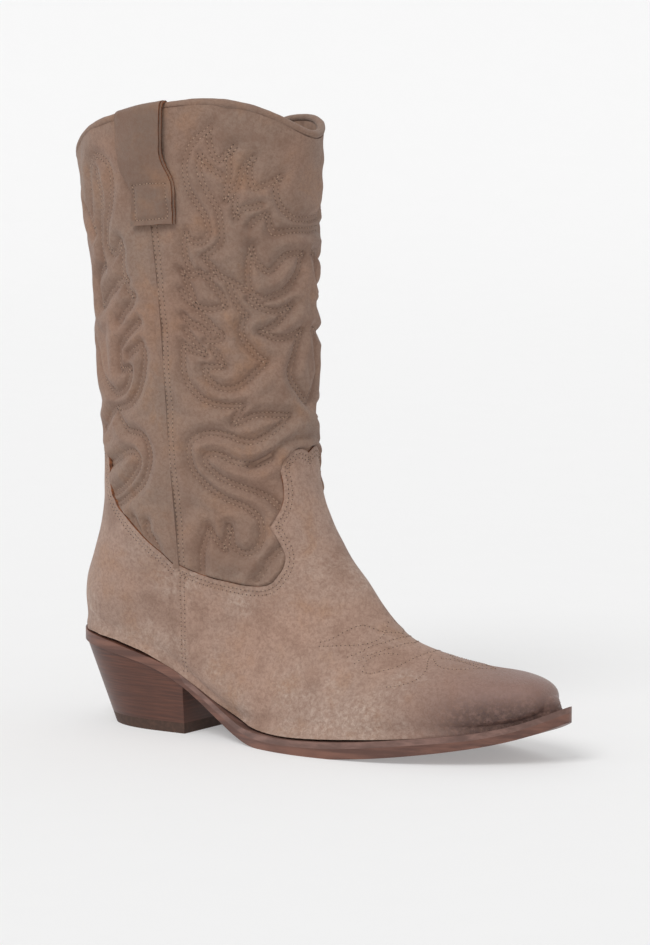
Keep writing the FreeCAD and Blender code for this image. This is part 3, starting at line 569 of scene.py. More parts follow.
# ---- places on a panel for stitches --------------------------------------
class Chart:
    """Finds the point of a grid patch from two flat coordinates."""

    def __init__(self, a, b, points, normals, covered=None):
        self.a, self.b, self.points, self.normals = a, b, points, normals
        self.covered = covered
        self.slopes = [np.gradient(g, axis=k) for g in (a, b) for k in (0, 1)]
        self.steps = [np.gradient(points, axis=k) for k in (0, 1)]
        self.tree = tree_of(np.stack([a.ravel(), b.ravel()], 1))

    def place(self, line):
        """Points and normals of a flat line, and which of them are on the patch."""
        found = [self.tree.find((p[0], p[1], 0.0)) for p in line]
        k = np.array([f[1] for f in found])
        near = np.array([f[2] for f in found]) < 1.5
        i, j = np.unravel_index(k, self.a.shape)
        if self.covered is not None:
            near &= self.covered[i, j] < -1.0
        da, db = line[:, 0] - self.a[i, j], line[:, 1] - self.b[i, j]
        a0, a1, b0, b1 = (g[i, j] for g in self.slopes)
        det = a0 * b1 - a1 * b0
        det = np.where(np.abs(det) < 1e-6, 1e-6, det)
        u = np.clip((da * b1 - a1 * db) / det, -1, 1)
        w = np.clip((a0 * db - b0 * da) / det, -1, 1)
        p = self.points[i, j] + self.steps[0][i, j] * u[:, None]
        p = p + self.steps[1][i, j] * w[:, None]
        return p, self.normals[i, j], near


STITCH_PROFILE = [(-0.5, 0.12), (-0.3, 0.85), (0.0, 1.0), (0.3, 0.85), (0.5, 0.12)]
STITCH_SIDES = 5


def stitch_mesh(rows, length, radius, lift):
    """Thread segments along placed rows of (points, normals)."""
    verts, faces = [], []
    base = 0
    for points, normals in rows:
        if len(points) < 3:
            continue
        run = np.gradient(points, axis=0)
        run /= np.linalg.norm(run, axis=1)[:, None] + 1e-9
        side = np.cross(normals, run)
        side /= np.linalg.norm(side, axis=1)[:, None] + 1e-9
        for p, t, n, s in zip(points, run, normals, side):
            for along, share in STITCH_PROFILE:
                sink = lift - 1.6 * radius * (2 * along) ** 2
                for k in range(STITCH_SIDES):
                    turn = 2 * math.pi * k / STITCH_SIDES
                    reach = radius * share
                    verts.append(p + t * along * length + n * (sink + reach * math.sin(turn))
                                 + s * reach * math.cos(turn))
            for ring in range(len(STITCH_PROFILE) - 1):
                for k in range(STITCH_SIDES):
                    m = (k + 1) % STITCH_SIDES
                    a = base + ring * STITCH_SIDES
                    b = a + STITCH_SIDES
                    faces.append((a + k, a + m, b + m, b + k))
            last = base + (len(STITCH_PROFILE) - 1) * STITCH_SIDES
            faces.append(tuple(base + k for k in reversed(range(STITCH_SIDES))))
            faces.append(tuple(last + k for k in range(STITCH_SIDES)))
            base += len(STITCH_PROFILE) * STITCH_SIDES
    return np.array(verts), faces


def add_stitches(name, rows, material, length, radius, lift):
    """One mesh of all the stitches, or of all the dark discs of painted shade at the needle holes,
    of some rows.
    """
    verts, faces = stitch_mesh(rows, length, radius, lift)
    mesh = bpy.data.meshes.new(name)
    mesh.from_pydata(to_frame(verts).tolist(), [], faces)
    mesh.materials.append(material)
    mesh.polygons.foreach_set("use_smooth", np.ones(len(faces), bool))
    ride_on_boot(name, mesh)


def placed_rows(chart, lines, shifts, pitch=PITCH, keep=None):
    """Rows of thread and of needle holes along flat lines moved sideways."""
    threads, shaded_holes = [], []
    for line in lines:
        fine = spline(line, 0.3)
        for shift in shifts:
            row = even(offset(fine, shift), pitch)
            for kind, places in ((threads, (row[1:] + row[:-1]) / 2), (shaded_holes, row)):
                if keep is not None:
                    places = places[keep(places)]
                if len(places) < 3:
                    continue
                points, normals, near = chart.place(places)
                kind.append((points[near], normals[near]))
    return threads, shaded_holes


def add_rows(name, rows, thread, hole_shade):
    """The threads of some placed rows, and dark discs of painted shade at their needle holes."""
    threads, shaded_holes = rows
    add_stitches(name, threads, thread, 1.35, 0.25, 0.08)
    # painted shade: dark discs at the needle holes stand in for the shade inside them
    add_stitches(name + "_holes", shaded_holes, hole_shade, 0.8, 0.36, -0.05)


# ---- materials ------------------------------------------------------------
def srgb(r, g, b):
    """Linear colour from 0-255 values."""
    parts = [c / 255 for c in (r, g, b)]
    line = [c / 12.92 if c <= 0.04045 else ((c + 0.055) / 1.055) ** 2.4 for c in parts]
    return (*line, 1.0)


class Mat:
    """A node material with short helpers."""

    def __init__(self, name, roughness=0.9, sheen=0.0):
        self.material = bpy.data.materials.new(name)
        self.material.use_nodes = True
        self.tree = self.material.node_tree
        self.shader = self.tree.nodes["Principled BSDF"]
        self.shader.inputs["Roughness"].default_value = roughness
        self.shader.inputs["Sheen Weight"].default_value = sheen
        self.shader.inputs["Sheen Roughness"].default_value = 0.5
        self.place = self.tree.nodes.new("ShaderNodeTexCoord").outputs["Object"]

    def link(self, a, b):
        """Joins output a to input b."""
        self.tree.links.new(a, b)

    def noise(self, scale, detail=4.0, roughness=0.55, stretch=None, distortion=0.0):
        """Noise in the object's own space, from 0 to 1."""
        node = self.tree.nodes.new("ShaderNodeTexNoise")
        node.inputs["Scale"].default_value = scale
        node.inputs["Detail"].default_value = detail
        node.inputs["Roughness"].default_value = roughness
        node.inputs["Distortion"].default_value = distortion
        source = self.place
        if stretch:
            mapping = self.tree.nodes.new("ShaderNodeMapping")
            mapping.inputs["Scale"].default_value = stretch
            self.link(self.place, mapping.inputs["Vector"])
            source = mapping.outputs["Vector"]
        self.link(source, node.inputs["Vector"])
        return node.outputs["Fac"]

    def span(self, value, low, high, to_low=0.0, to_high=1.0):
        """A smooth step of a value from one range to another."""
        node = self.tree.nodes.new("ShaderNodeMapRange")
        node.interpolation_type = "SMOOTHSTEP"
        for key, number in (("From Min", low), ("From Max", high), ("To Min", to_low),
                            ("To Max", to_high)):
            node.inputs[key].default_value = number
        self.link(value, node.inputs["Value"])
        return node.outputs["Result"]

    def times(self, a, b):
        """The product of two values; either may be a plain number."""
        node = self.tree.nodes.new("ShaderNodeMath")
        node.operation = "MULTIPLY"
        self.set(node.inputs[0], a)
        self.set(node.inputs[1], b)
        return node.outputs[0]

    def mix(self, share, a, b):
        """Colour a at share 0, colour b at share 1."""
        node = self.tree.nodes.new("ShaderNodeMix")
        node.data_type = "RGBA"
        self.set(node.inputs["Factor"], share)
        for socket in node.inputs:
            if socket.type == "RGBA":
                self.set(socket, a if socket.name == "A" else b)
        return [o for o in node.outputs if o.type == "RGBA"][0]

    def set(self, socket, value):
        """Links a socket to another, or gives it a constant."""
        if isinstance(value, bpy.types.NodeSocket):
            self.link(value, socket)
        else:
            socket.default_value = value

    def axis(self, name):
        """One coordinate of the place, in metres."""
        node = self.tree.nodes.new("ShaderNodeSeparateXYZ")
        self.link(self.place, node.inputs[0])
        return node.outputs[name]

    def attribute(self, name):
        """A value stored on the mesh's points."""
        node = self.tree.nodes.new("ShaderNodeAttribute")
        node.attribute_name = name
        return node.outputs["Fac"]

    def bump(self, height, strength, distance):
        """Adds a bump on top of those already there."""
        node = self.tree.nodes.new("ShaderNodeBump")
        node.inputs["Strength"].default_value = strength
        node.inputs["Distance"].default_value = distance
        self.link(height, node.inputs["Height"])
        before = self.shader.inputs["Normal"]
        if before.is_linked:
            self.link(before.links[0].from_socket, node.inputs["Normal"])
        self.link(node.outputs["Normal"], before)

    def colour(self, value):
        """Sets the base colour."""
        self.set(self.shader.inputs["Base Color"], value)


SUEDE = srgb(148, 118, 101)
SUEDE_GREY = srgb(141, 119, 105)
# SUEDE_DARK serves the random clouding and nap, and also the painted shade in grooves and creases
SUEDE_DARK = srgb(116, 86, 70)
SUEDE_TAN = srgb(156, 116, 86)
FOOT_SUEDE = srgb(170, 139, 122)
FOOT_GREY = srgb(163, 138, 124)
SUEDE_WORN = srgb(186, 164, 150)
BURNISH = srgb(130, 99, 91)
TOE_SIDE_DARK = srgb(72, 50, 46)
RAW_EDGE = srgb(150, 94, 60)
STAIN = srgb(96, 56, 41)
STAIN_DARK = srgb(74, 42, 31)


def suede_material(name, foot=False, shade=1.0):
    """Brushed suede: clouded, napped, with painted shade in its grooves, worn pale on the foot and
    burnished at the toe.
    """
    m = Mat(name, 0.95, 0.12)
    base, grey = (FOOT_SUEDE, FOOT_GREY) if foot else (SUEDE, SUEDE_GREY)
    base, grey = (tuple(c * shade for c in tone[:3]) + (1.0,) for tone in (base, grey))
    broad = m.noise(22.0, 3.0, 0.5)
    clouds = m.noise(48.0, 4.0, 0.6, distortion=0.3)
    nap = m.noise(560.0, 5.0, 0.8, distortion=0.6)
    colour = m.mix(m.span(broad, 0.3, 0.7), base, grey)
    colour = m.mix(m.times(m.span(clouds, 0.48, 0.78), 0.6), colour, SUEDE_TAN)
    colour = m.mix(m.times(m.span(clouds, 0.52, 0.25), 0.5), colour, SUEDE_DARK)
    # painted shade: where the relief sinks into grooves, creases and edge rolls, the colour
    # darkens towards SUEDE_DARK
    colour = m.mix(m.span(m.attribute("relief"), 0.2, -1.0, 0.0, 0.28), colour, SUEDE_DARK)
    if foot:
        speckle = m.noise(330.0, 5.0, 0.75)
        patches = m.noise(26.0, 3.0, 0.55, distortion=0.3)
        lower = m.span(m.axis("Z"), 0.14, 0.06, 0.0, 0.8)
        worn = m.times(m.span(patches, 0.45, 0.68), m.span(speckle, 0.38, 0.62))
        colour = m.mix(m.times(worn, lower), colour, SUEDE_WORN)
        toe = m.span(m.axis("X"), 0.052, 0.122, 0.0, 0.9)
        toe = m.times(toe, m.span(patches, 0.25, 0.6, 0.75, 1.0))
        colour = m.mix(toe, colour, BURNISH)
        # darker speckled mottling low on the toe, strongest near the welt
        low = m.span(m.axis("Z"), 0.04, 0.024)
        toe_side_mottle = m.times(m.span(m.axis("X"), 0.075, 0.115), low)
        toe_side_mottle = m.times(toe_side_mottle, m.span(speckle, 0.36, 0.56, 0.3, 0.95))
        colour = m.mix(toe_side_mottle, colour, TOE_SIDE_DARK)
        m.link(m.span(m.axis("X"), 0.08, 0.125, 0.9, 0.42), m.shader.inputs["Roughness"])
    dark_nap = m.mix(0.5, colour, SUEDE_DARK)
    colour = m.mix(m.span(nap, 0.6, 0.38, 0.0, 0.9), colour, dark_nap)
    m.colour(colour)
    m.bump(nap, 0.7, 0.0006)
    m.bump(m.noise(190.0, 4.0, 0.6), 0.25, 0.0008)
    return m.material


def leather_material(name, light, dark, roughness=0.55, grain=(1, 1, 1), scale=160.0):
    """Stained leather with streaks along its grain."""
    m = Mat(name, roughness)
    streak = m.noise(scale, 4.0, 0.6, stretch=grain)
    spots = m.noise(45.0, 3.0, 0.6)
    colour = m.mix(m.span(streak, 0.35, 0.68), dark, light)
    colour = m.mix(m.times(m.span(spots, 0.45, 0.75), 0.5), colour, dark)
    m.colour(colour)
    m.bump(streak, 0.25, 0.0004)
    return m.material


def plain_material(name, light, dark, roughness=0.6, metallic=0.0, scale=400.0):
    """An even material with fine grain between two tones."""
    m = Mat(name, roughness)
    m.shader.inputs["Metallic"].default_value = metallic
    grain = m.noise(scale, 3.0, 0.6)
    m.colour(m.mix(m.span(grain, 0.35, 0.7), dark, light))
    m.bump(grain, 0.15, 0.0002)
    return m.material


def thread_material(name, light, dark):
    """Soft thread with a fine twist."""
    m = Mat(name, 0.85, 0.1)
    twist = m.noise(1500.0, 2.0, 0.6)
    m.colour(m.mix(m.span(twist, 0.35, 0.7), dark, light))
    return m.material


# ---- the upper --------------------------------------------------------------
SHAFT_BELOW_TOPLINE = 1.2    # the panels end inside the rolled piping
SHAFT_FOOT = 66.0            # height of their lower ends, hidden under the vamp


def groove(distance, depth, puff, reach):
    """Height of quilted leather at a distance from a twin stitch line."""
    rows = 0.6 * np.exp(-((distance - 1.2) / 0.75) ** 2)
    floor = 0.5 * (1 - ease(distance, 0.8, 3.4))
    swell = puff * ease(distance, 1.6, 6.5)
    fade = 1 - 0.7 * ease(distance, reach * 0.45, reach)
    return swell * fade - depth * (rows + floor)


def cover(points, s):
    """How deep each place lies under the vamp or the counter; below zero in the open."""
    x, z = points[:, :, 0], points[:, :, 2]
    ahead = x - seam_x(z)
    vamp = vamp_field(np.minimum(s, 150), z)
    counter = (counter_top(x) - z) * 0.75
    return np.where(ahead > 0, vamp, counter)


def shaft_relief(points, s, z, covered):
    """Quilting, lumps and folds of the shaft."""
    lines = [spline(line, 0.4) for line in FRONT_LINES + BACK_LINES]
    tree = tree_of(np.vstack(lines))
    d = distance_to(tree, s, z)
    strength = 0.55 + 0.45 * ease(-z, -310, -225)
    height = strength * groove(d, 1.15, 2.0, 15.0)
    seam_rows = ease(np.abs(s - 3.6), 2.6, 4.6)
    height = height - 0.25 * (1 - seam_rows) * (s > 0.5)
    height = height + 0.45 * waves(points, 38.0, 3) + 0.12 * waves(points, 11.0, 8)
    fold_line = spline([(44, 141), (55, 147.5), (60, 151), (64, 153.5), (70, 155.5),
                        (77, 155.5), (90, 153)], 0.5)
    fold = distance_to(tree_of(fold_line), s, z)
    height = height - 1.6 * np.exp(-(fold / 1.9) ** 2)
    height = height + 1.1 * np.exp(-((fold - 5.5) / 3.5) ** 2)
    height = height * (1 - ease(covered, -1.6, 0.0))
    return height + 0.15 * ease(covered, -0.8, 0.4)


def make_shaft(suede, edge):
    """Both quilted shaft panels, and what their stitches need."""
    points = surface(0.0, *SHAFT_STATIONS)
    normals = grid_normals(points)
    s = seam_distance(points)
    z = points[:, :, 2]
    covered = cover(points, s)
    relief = shaft_relief(points, s, z, covered)
    raised = points + normals * relief[:, :, None]
    turned = grid_normals(raised)
    top = top_height(points) - SHAFT_BELOW_TOPLINE - z
    low = z - SHAFT_FOOT
    body = np.minimum(top, low)
    for name, side in (("shaft_front", s), ("shaft_back", -s)):
        add_panel(name + "_quilted", raised, turned, relief, np.minimum(body, side),
                  [suede, edge], name)
    return raised, turned, s, covered


def side_charts(a, b, points, normals, covered=None):
    """Charts of the outer and the inner half of a grid."""
    columns = points.shape[1]
    half = columns // 2
    charts = []
    for order in (np.arange(half + 1), (-np.arange(half + 1)) % columns):
        hidden = None if covered is None else covered[:, order]
        charts.append(Chart(a[:, order], b[:, order], points[:, order], normals[:, order],
                            hidden))
    return charts


def stitch_shaft(raised, turned, s, covered, thread, hole_shade):
    """Twin rows of stitches on both sides of the shaft."""
    seam = [(3.6, 312), (3.6, 265), (3.6, 200), (3.6, 150), (3.6, 120), (3.6, 84)]
    charts = side_charts(s, raised[:, :, 2], raised, turned, covered)
    for name, chart in zip(("outer", "inner"), charts):
        rows = placed_rows(chart, FRONT_LINES + BACK_LINES, (-1.2, 1.2))
        add_rows("shaft_stitches_" + name, rows, thread, hole_shade)
        rows = placed_rows(chart, [seam], (-1.4, 1.4))
        add_rows("side_stitches_" + name, rows, thread, hole_shade)
    return charts


def vamp_field(s, z):
    """Signed distance inside the vamp's edge, in the flat chart."""
    line = np.vstack([spline(part, 0.4)[:-1] for part in VAMP_EDGE])
    tree = tree_of(line)
    distance = distance_to(tree, s, z, 60.0)
    polygon = np.vstack([line, [(160, 144), (160, -200), (-60, -200), (-60, 89.5)]])
    inside = np.zeros(s.shape, bool)
    for (a0, b0), (a1, b1) in zip(polygon, np.roll(polygon, -1, 0)):
        if b0 == b1:
            continue
        crosses = (b0 > z) != (b1 > z)
        at = a0 + (z - b0) * (a1 - a0) / (b1 - b0)
        inside ^= crosses & (s < at)
    return np.where(inside, distance, -distance)


def toe_cap_rows(points):
    """Extra rows that close the toe's tip with a rounded end."""
    ring = points[-1]
    centre = ring.mean(0)
    forward = ring.mean(0) - points[-6].mean(0)
    forward /= np.linalg.norm(forward)
    rows = []
    for k in range(1, 7):
        turn = math.pi / 2 * k / 6
        rows.append(centre + (ring - centre) * max(math.cos(turn), 0.02)
                    + forward * 2.2 * math.sin(turn))
    return np.vstack([points, np.array(rows)])


def reach_sole(points):
    """Moves the lasted edge out so that it meets the edge of the sole."""
    x = np.concatenate([np.linspace(0, 10, 80), np.linspace(10, BOOT_LENGTH, 700)])
    width = np.maximum(sole_half_width(x), 0)
    near = np.stack([x, toe_bend(x) - width], 1)
    far = np.stack([x, toe_bend(x) + width], 1)
    outline = np.vstack([near, far])
    tree = tree_of(outline)
    above = points[:, :, 2] - seat_height(points[:, :, 0])
    height = 15.0 - 6.0 * ease(points[:, :, 0], 70, 120)
    result = points.copy()
    for i, j in zip(*np.nonzero((above > -8.0) & (above < height))):
        px, py = points[i, j, :2]
        if abs(py - toe_bend(px)) > sole_half_width(px) or px < 0:
            continue
        place, _, gap = tree.find((px, py, 0.0))
        push = max(0.0, gap - float(welt_showing(px))) * (1 - ease(above[i, j], 0.5, height[i, j]))
        if gap > 14.0:
            continue
        result[i, j, 0] += (place[0] - px) / gap * push
        result[i, j, 1] += (place[1] - py) / gap * push
    return result


def foot_relief(points, z, edge_distance):
    """Edge rolls, lumps and wear creases of the vamp and counter."""
    x = points[:, :, 0]
    height = 0.3 * waves(points, 45.0, 5) + 0.1 * waves(points, 14.0, 6)
    height -= 0.35 * np.exp(-((edge_distance - 3.4) / 2.0) ** 2)
    height -= 0.5 * np.exp(-(edge_distance / 0.8) ** 2)
    return height * ease(z - seat_height(x), 1.0, 8.0)


def make_foot(suede, edge, thread, hole_shade):
    """Vamp with its tongue, and the heel counter."""
    points = toe_cap_rows(surface(VAMP_FACE, FOOT_START, LAST_STATION))
    s = seam_distance(points)
    points = reach_sole(points)
    normals = grid_normals(points)
    x, z = points[:, :, 0], points[:, :, 2]
    vamp = vamp_field(np.minimum(s, 150), z)
    ahead = x - seam_x(z)
    counter = counter_top(x) - z
    seat = z - seat_height(x) + 0.8
    edge_gap = np.where(ahead > 0, np.abs(vamp), np.abs(counter) * 0.75)
    seam_gap = np.abs(ahead)
    relief = foot_relief(points, z, np.minimum(edge_gap, seam_gap + 1.2))
    raised = points + normals * relief[:, :, None]
    turned = grid_normals(raised)
    add_panel("vamp_suede", raised, turned, relief, np.minimum(np.minimum(vamp, ahead), seat),
              [suede, edge], "vamp")
    behind = np.minimum(np.minimum(counter, -ahead), seat)
    add_panel("heel_counter_suede", raised, turned, relief, behind, [suede, edge],
              "heel_counter")
    edge_line = np.vstack([spline(part, 0.4)[:-1] for part in VAMP_EDGE])
    edge_tree = tree_of(edge_line)

    def inside_vamp(row):
        """Which places are clear of the edge and ahead of the side seam."""
        gap = np.array([edge_tree.find((a, b, 0.0))[2] for a, b in row])
        return (gap > 2.0) & (row[:, 0] > 1.0)

    charts = side_charts(s, z, raised, turned)
    for name, chart in zip(("outer", "inner"), charts):
        rows = placed_rows(chart, VAMP_EDGE, (-2.3, -4.5), keep=inside_vamp)
        add_rows("vamp_stitches_" + name, rows, thread, hole_shade)
    side = [np.array([(px, pz) for px, pz in COUNTER_TOP[:-1]])]
    for name, chart in zip(("outer", "inner"), side_charts(x, z, raised, turned)):
        rows = placed_rows(chart, side, (2.3, 4.5))
        add_rows("counter_stitches_" + name, rows, thread, hole_shade)
        seam_lines = [[(float(seam_x(h)) + 3.2, h) for h in (84.0, 70.0, 55.0, 40.0, 33.0)]]
        rows = placed_rows(chart, seam_lines, (-1.2, 1.2))
        add_rows("heel_seam_stitches_" + name, rows, thread, hole_shade)
    upper = np.arange(points.shape[1] // 4, 3 * points.shape[1] // 4)
    first = int(np.argmax(points[:, points.shape[1] // 2, 0] > 150))
    patch = (slice(first, points.shape[0] - 8), upper)
    plan = Chart(points[patch][:, :, 0], points[patch][:, :, 1], raised[patch], turned[patch])
    lines = [[(px, side * py + float(toe_bend(px))) for px, py in line]
             for line in MEDALLION for side in (1, -1)]
    add_rows("toe_stitches", placed_rows(plan, lines, (0.0,), 2.2), thread, hole_shade)


STRAP_LIFT = 2.7             # of the upper layer's outer face, over the shaft
UNDER_LIFT = 1.3             # the same of the lower layer
STRAP_STAND_OFF = 2.2        # more, where the strap leaves the shaft to fold over its top
FOLD_WIDTH = 5.9             # across the fold, besides the lift
STRAP_ROWS = 64
STRAP_COLUMNS = 30
SHAFT_MIDDLE = 65.0          # x of a point well inside the shaft


def strap_grid(chart, lift, widen):
    """Outer face of a strap: up the outside, over the topline and down inside."""
    across = np.linspace(0, 1, STRAP_COLUMNS)
    levels = np.linspace(0, 1, STRAP_ROWS)
    box = tree_of(np.vstack([spline(line, 0.4) for line in STRAP_BOX]))
    front = chart.place(np.stack([np.linspace(-16, 12, STRAP_COLUMNS),
                                  np.full(STRAP_COLUMNS, 300.0)], 1))[0]
    top = float(top_height(front).mean())
    rows = []
    for level in levels:
        z = 262.8 + (top - 262.8) * level
        tilt = 2.2 * (across - 0.5) * (1 - level) + level * (top_height(front) - top)
        low, high = (float(edge(z)) for edge in strap_edges)
        high += widen
        flat = np.stack([low + (high - low) * across, z + tilt], 1)
        points, normals, _ = chart.place(flat)
        sunk = np.array([box.find((a, b, 0.0))[2] for a, b in flat])
        inner = ease(-z, -282.0, -278.0)
        bulge = np.sin(math.pi * across) * (1.3 - 0.7 * inner) * min(1.0, 4 * (1 - level) + 0.2)
        out = lift + STRAP_STAND_OFF * ease(z, 284, 300) * (1 - 0.4 * level) + 0.3 * inner + bulge
        out = out - 0.9 * np.exp(-(sunk / 1.1) ** 2)
        rows.append(points + normals * out[:, None])
    edge, normals = rows[-1], normals
    up = rows[-1] - rows[-4]
    up /= np.linalg.norm(up, axis=1)[:, None]
    radius = (lift + FOLD_WIDTH) / 2
    centre = edge - normals * radius
    for k in range(1, 13):
        turn = math.pi * k / 12
        rows.append(centre + normals * radius * math.cos(turn)
                    + up * 2.9 * math.sin(turn))
    last = rows[-1]
    for k in range(1, 12):
        rows.append(last - up * 2.2 * k)
    return np.array(rows)


def strap_normals(grid):
    """Unit normals of an open grid, away from the middle of the shaft."""
    normals = np.cross(np.gradient(grid, axis=1), np.gradient(grid, axis=0))
    normals /= np.linalg.norm(normals, axis=2)[:, :, None] + 1e-9
    place = (grid.shape[0] // 4, grid.shape[1] // 2)
    centre = np.array([SHAFT_MIDDLE, 0.0, grid[place][2]])
    return -normals if np.dot(normals[place], grid[place] - centre) < 0 else normals


def slab(name, grid, thickness, materials, node):
    """A closed sheet of leather under an outer face, with raw edges."""
    rows, columns, _ = grid.shape
    low = grid - strap_normals(grid) * thickness
    count = rows * columns
    top = grid_quads(rows, columns, closed=False)
    index = np.arange(count).reshape(rows, columns)
    loop = np.concatenate([index[0, :-1], index[:-1, -1], index[-1, :0:-1], index[:0:-1, 0]])
    size = len(loop)
    verts = np.vstack([grid.reshape(-1, 3), low.reshape(-1, 3), grid.reshape(-1, 3)[loop],
                       low.reshape(-1, 3)[loop]])
    a = 2 * count + np.arange(size)
    b = np.roll(a, -1)
    wall = np.stack([a, b, b + size, a + size], 1)
    kinds = np.concatenate([np.zeros(2 * len(top)), np.ones(size)])
    add_mesh(name, verts, [top, top[:, ::-1] + count, wall], materials,
             [node] if node else (), kinds, {"relief": np.zeros(len(verts))})


def make_straps(charts, suede, edge, thread, hole_shade):
    """Both folded pull straps, each of two layers, with their stitched boxes."""
    for name, chart in zip(("outer", "inner"), charts):
        upper = strap_grid(chart, STRAP_LIFT, 0.0)
        slab("pull_strap_%s_top" % name, upper, 1.2, [suede, edge],
             "pull_strap_" + name)
        lower = strap_grid(chart, UNDER_LIFT, 0.9)
        slab("pull_strap_%s_under" % name, lower, 1.1, [suede, edge], None)
        leg = upper[:STRAP_ROWS]
        flat = chart_of_strap(leg)
        face = Chart(flat[:, :, 0], flat[:, :, 1], leg, strap_normals(leg))
        rows = placed_rows(face, STRAP_BOX, (0.0,), 1.9)
        add_rows("strap_stitches_" + name, rows, thread, hole_shade)


def chart_of_strap(leg):
    """Flat coordinates of a strap's outer leg: place across it and height."""
    across = np.linspace(0, 1, leg.shape[1])
    z = leg[:, :, 2]
    low = strap_edges[0](z)
    high = strap_edges[1](z)
    return np.stack([low + (high - low) * across[None, :], z], 2)


def make_piping(material):
    """The rolled edge round the top of the shaft."""
    points = surface(PIPING_DEPTH, *PIPING_STATIONS)
    gap = points[:, :, 2] - top_height(points)
    k = np.argmax(gap < 0, axis=0)
    c = np.arange(points.shape[1])
    share = gap[k - 1, c] / (gap[k - 1, c] - gap[k, c])
    path = points[k - 1, c] * (1 - share[:, None]) + points[k, c] * share[:, None]
    run = np.roll(path, -1, 0) - np.roll(path, 1, 0)
    run /= np.linalg.norm(run, axis=1)[:, None]
    out = grid_normals(points)[k, c]
    up = np.cross(out, run)
    up /= np.linalg.norm(up, axis=1)[:, None]
    up *= np.sign(up[:, 2:3])
    sides = 18
    rings = []
    swell = 1 + 0.05 * waves(path, 9.0, 21) + 0.05 * waves(path, 25.0, 22)
    for j in range(sides):
        turn = 2 * math.pi * j / sides
        rings.append(path + (out * math.cos(turn) * 2.15 + up * math.sin(turn) * 2.0)
                     * swell[:, None])
    tube = np.array(rings)
    faces = grid_quads(sides + 1, len(path))
    faces = faces % (sides * len(path))
    add_mesh("topline_piping_rolled", tube.reshape(-1, 3), [faces], [material],
             ["topline_piping"], None, {"relief": np.zeros(sides * len(path))})


# ---- stage and camera ---------------------------------------------------------
AZIMUTH = math.radians(34.15)
ELEVATION = math.radians(6.88)
TARGET = Vector((0.0027, 0.0, 0.1486))
DISTANCE = 2.525


def back_direction(azimuth, elevation):
    """Unit vector from the boot towards a camera or a light."""
    return Vector((math.sin(azimuth) * math.cos(elevation),
                   -math.cos(azimuth) * math.cos(elevation), math.sin(elevation)))


def make_camera():
    """The camera: a long lens from the outer side, ahead of the boot."""
    data = bpy.data.cameras.new("camera")
    data.lens = 189.8
    data.sensor_width = 36.0
    data.shift_x = 0.0025
    data.shift_y = -0.0240
    data.clip_end = 100.0
    camera = bpy.data.objects.new("camera", data)
    back = back_direction(AZIMUTH, ELEVATION)
    camera.location = TARGET + back * DISTANCE
    camera.rotation_mode = "QUATERNION"
    camera.rotation_quaternion = (-back).to_track_quat("-Z", "Y")
    bpy.context.scene.collection.objects.link(camera)
    bpy.context.scene.camera = camera


def sun_light(name, azimuth, elevation, angle, power):
    """Soft light from far away."""
    data = bpy.data.lights.new(name, "SUN")
    data.energy = power
    data.angle = math.radians(angle)
    light = bpy.data.objects.new(name, data)
    back = back_direction(math.radians(azimuth), math.radians(elevation))
    light.rotation_mode = "QUATERNION"
    light.rotation_quaternion = back.to_track_quat("Z", "Y")
    bpy.context.scene.collection.objects.link(light)


def make_floor():
    """A plain pale floor that sweeps up behind the boot."""
    profile = [(-6.0, 0.0), (2.5, 0.0)]
    for k in range(1, 13):
        turn = math.pi / 2 * k / 12
        profile.append((2.5 + 1.5 * math.sin(turn), 1.5 - 1.5 * math.cos(turn)))
    profile.append((4.0, 6.0))
    away = -back_direction(AZIMUTH, 0.0)
    side = Vector((-away.y, away.x, 0.0))
    verts, faces = [], []
    for run, height in profile:
        for across in (-8.0, 8.0):
            verts.append(away * run + side * across + Vector((0, 0, height)))
    for k in range(len(profile) - 1):
        faces.append((2 * k, 2 * k + 1, 2 * k + 3, 2 * k + 2))
    mesh = bpy.data.meshes.new("floor")
    mesh.from_pydata(verts, [], faces)
    mesh.polygons.foreach_set("use_smooth", np.ones(len(faces), bool))
    floor = bpy.data.objects.new("floor", mesh)
    bpy.context.scene.collection.objects.link(floor)
    m = Mat("floor_paper", 0.95)
    grain = m.noise(30.0, 2.0, 0.5)
    paper = m.mix(grain, (0.57, 0.57, 0.57, 1), (0.58, 0.58, 0.58, 1))
    m.colour(m.mix(m.span(m.axis("Z"), 0.0, 2.0), paper, (0.49, 0.49, 0.49, 1)))
    m.shader.inputs["Emission Color"].default_value = (1, 1, 1, 1)
    m.shader.inputs["Emission Strength"].default_value = 0.29
    mesh.materials.append(m.material)


def make_light():
    """Even light from all round, one soft sun, and plain colours."""
    world = bpy.data.worlds.new("studio")
    world.use_nodes = True
    world.node_tree.nodes["Background"].inputs["Color"].default_value = (1, 1, 1, 1)
    world.node_tree.nodes["Background"].inputs["Strength"].default_value = 0.64
    bpy.context.scene.world = world
    sun_light("key", 2.0, 50.0, 30.0, 1.45)
    view = bpy.context.scene.view_settings
    view.view_transform = "Standard"
    view.look = "None"


def dress_cad_nodes(materials, record):
    """Gives every CAD node the material of its slot."""
    for part in record["subparts"]:
        node = frame["nodes"].get(part["node"])
        if node is None:
            continue
        node.data.materials.clear()
        node.data.materials.append(materials[part["material_slot"]])


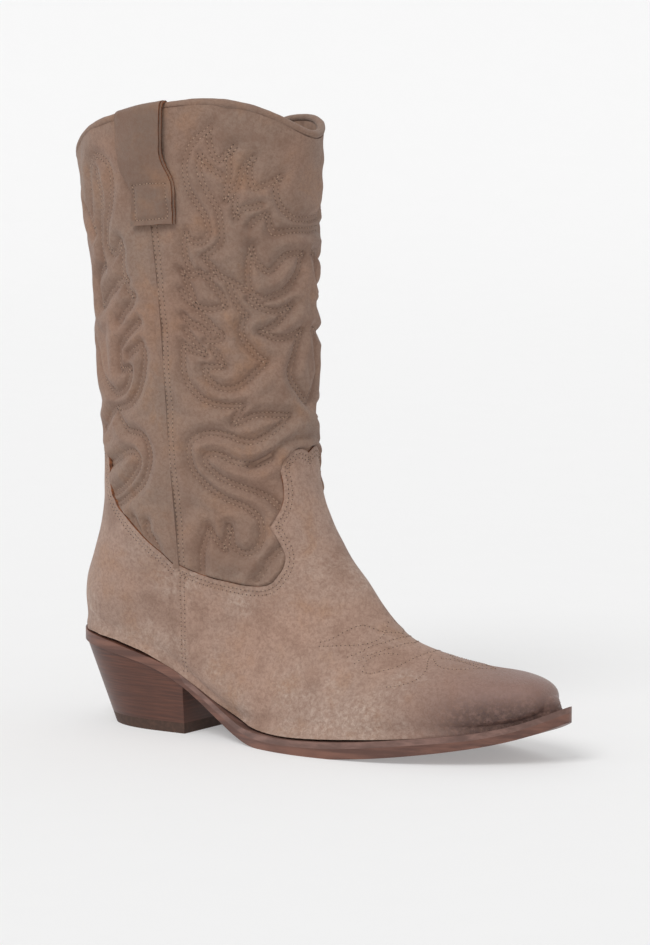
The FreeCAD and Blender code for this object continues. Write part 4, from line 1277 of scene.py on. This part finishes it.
def slot_materials():
    """The material of each slot in the record."""
    return {
        "suede": suede_material("suede_shaft"),
        "strap_suede": suede_material("suede_strap", shade=0.72),
        "piping_suede": suede_material("suede_piping", shade=0.92),
        "sole_leather": leather_material("sole_edge_leather", srgb(122, 83, 69),
                                         srgb(88, 58, 49), 0.42, (0.12, 0.5, 2.2)),
        "welt_leather": leather_material("welt_leather", srgb(134, 102, 92),
                                         srgb(100, 74, 66), 0.5, (0.3, 1, 1.5)),
        "heel_leather": leather_material("heel_stack_leather", STAIN, STAIN_DARK, 0.38,
                                         (0.12, 0.12, 3.0), 300.0),
        "top_piece_rubber": plain_material("heel_top_rubber", srgb(80, 55, 43),
                                           srgb(66, 45, 35), 0.7),
        "lining_leather": leather_material("lining_leather", srgb(160, 128, 108),
                                           srgb(128, 98, 80), 0.6),
        "lining_textile": plain_material("canvas", srgb(205, 195, 180), srgb(180, 168, 150)),
        "stiffener_board": plain_material("stiffener", srgb(190, 180, 160),
                                          srgb(165, 152, 132)),
        "insole_leather": leather_material("insole_leather", srgb(190, 160, 130),
                                           srgb(160, 130, 100)),
        "sock_leather": leather_material("sock_leather", srgb(165, 130, 105),
                                         srgb(135, 102, 80)),
        "pad_foam": plain_material("foam", srgb(215, 208, 195), srgb(195, 186, 170)),
        "cork": plain_material("cork", srgb(195, 160, 120), srgb(140, 105, 72), 0.8, 0.0, 700.0),
        "steel": plain_material("steel", srgb(190, 190, 192), srgb(160, 160, 164), 0.35, 1.0),
        "brass": plain_material("brass", srgb(215, 185, 120), srgb(180, 150, 90), 0.35, 1.0),
    }


# ---- the whole scene -----------------------------------------------------------
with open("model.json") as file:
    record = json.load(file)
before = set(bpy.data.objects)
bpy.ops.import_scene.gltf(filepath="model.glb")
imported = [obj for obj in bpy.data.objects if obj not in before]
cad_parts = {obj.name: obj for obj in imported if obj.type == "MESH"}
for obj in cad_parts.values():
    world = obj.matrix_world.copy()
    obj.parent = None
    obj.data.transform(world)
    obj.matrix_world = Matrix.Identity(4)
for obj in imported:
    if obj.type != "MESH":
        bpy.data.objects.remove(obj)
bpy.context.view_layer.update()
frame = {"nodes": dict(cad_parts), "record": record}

materials = slot_materials()
dress_cad_nodes(materials, frame["record"])
foot_suede = suede_material("suede_foot", foot=True)
raw_edge = leather_material("raw_edge", RAW_EDGE, srgb(96, 60, 42), 0.9, (1, 1, 1), 600.0)
thread = thread_material("thread", srgb(186, 158, 136), srgb(140, 112, 92))
# painted shade: the needle holes get a dark material that stands in for the shade inside them
hole_shade = thread_material("needle_hole_painted_shade", srgb(58, 40, 33), srgb(42, 29, 24))

shaft = make_shaft(materials["suede"], raw_edge)
shaft_charts = stitch_shaft(*shaft, thread, hole_shade)
make_straps(shaft_charts, materials["strap_suede"], raw_edge, thread, hole_shade)
make_foot(foot_suede, raw_edge, thread, hole_shade)
make_piping(materials["piping_suede"])
make_floor()
make_light()
make_camera()
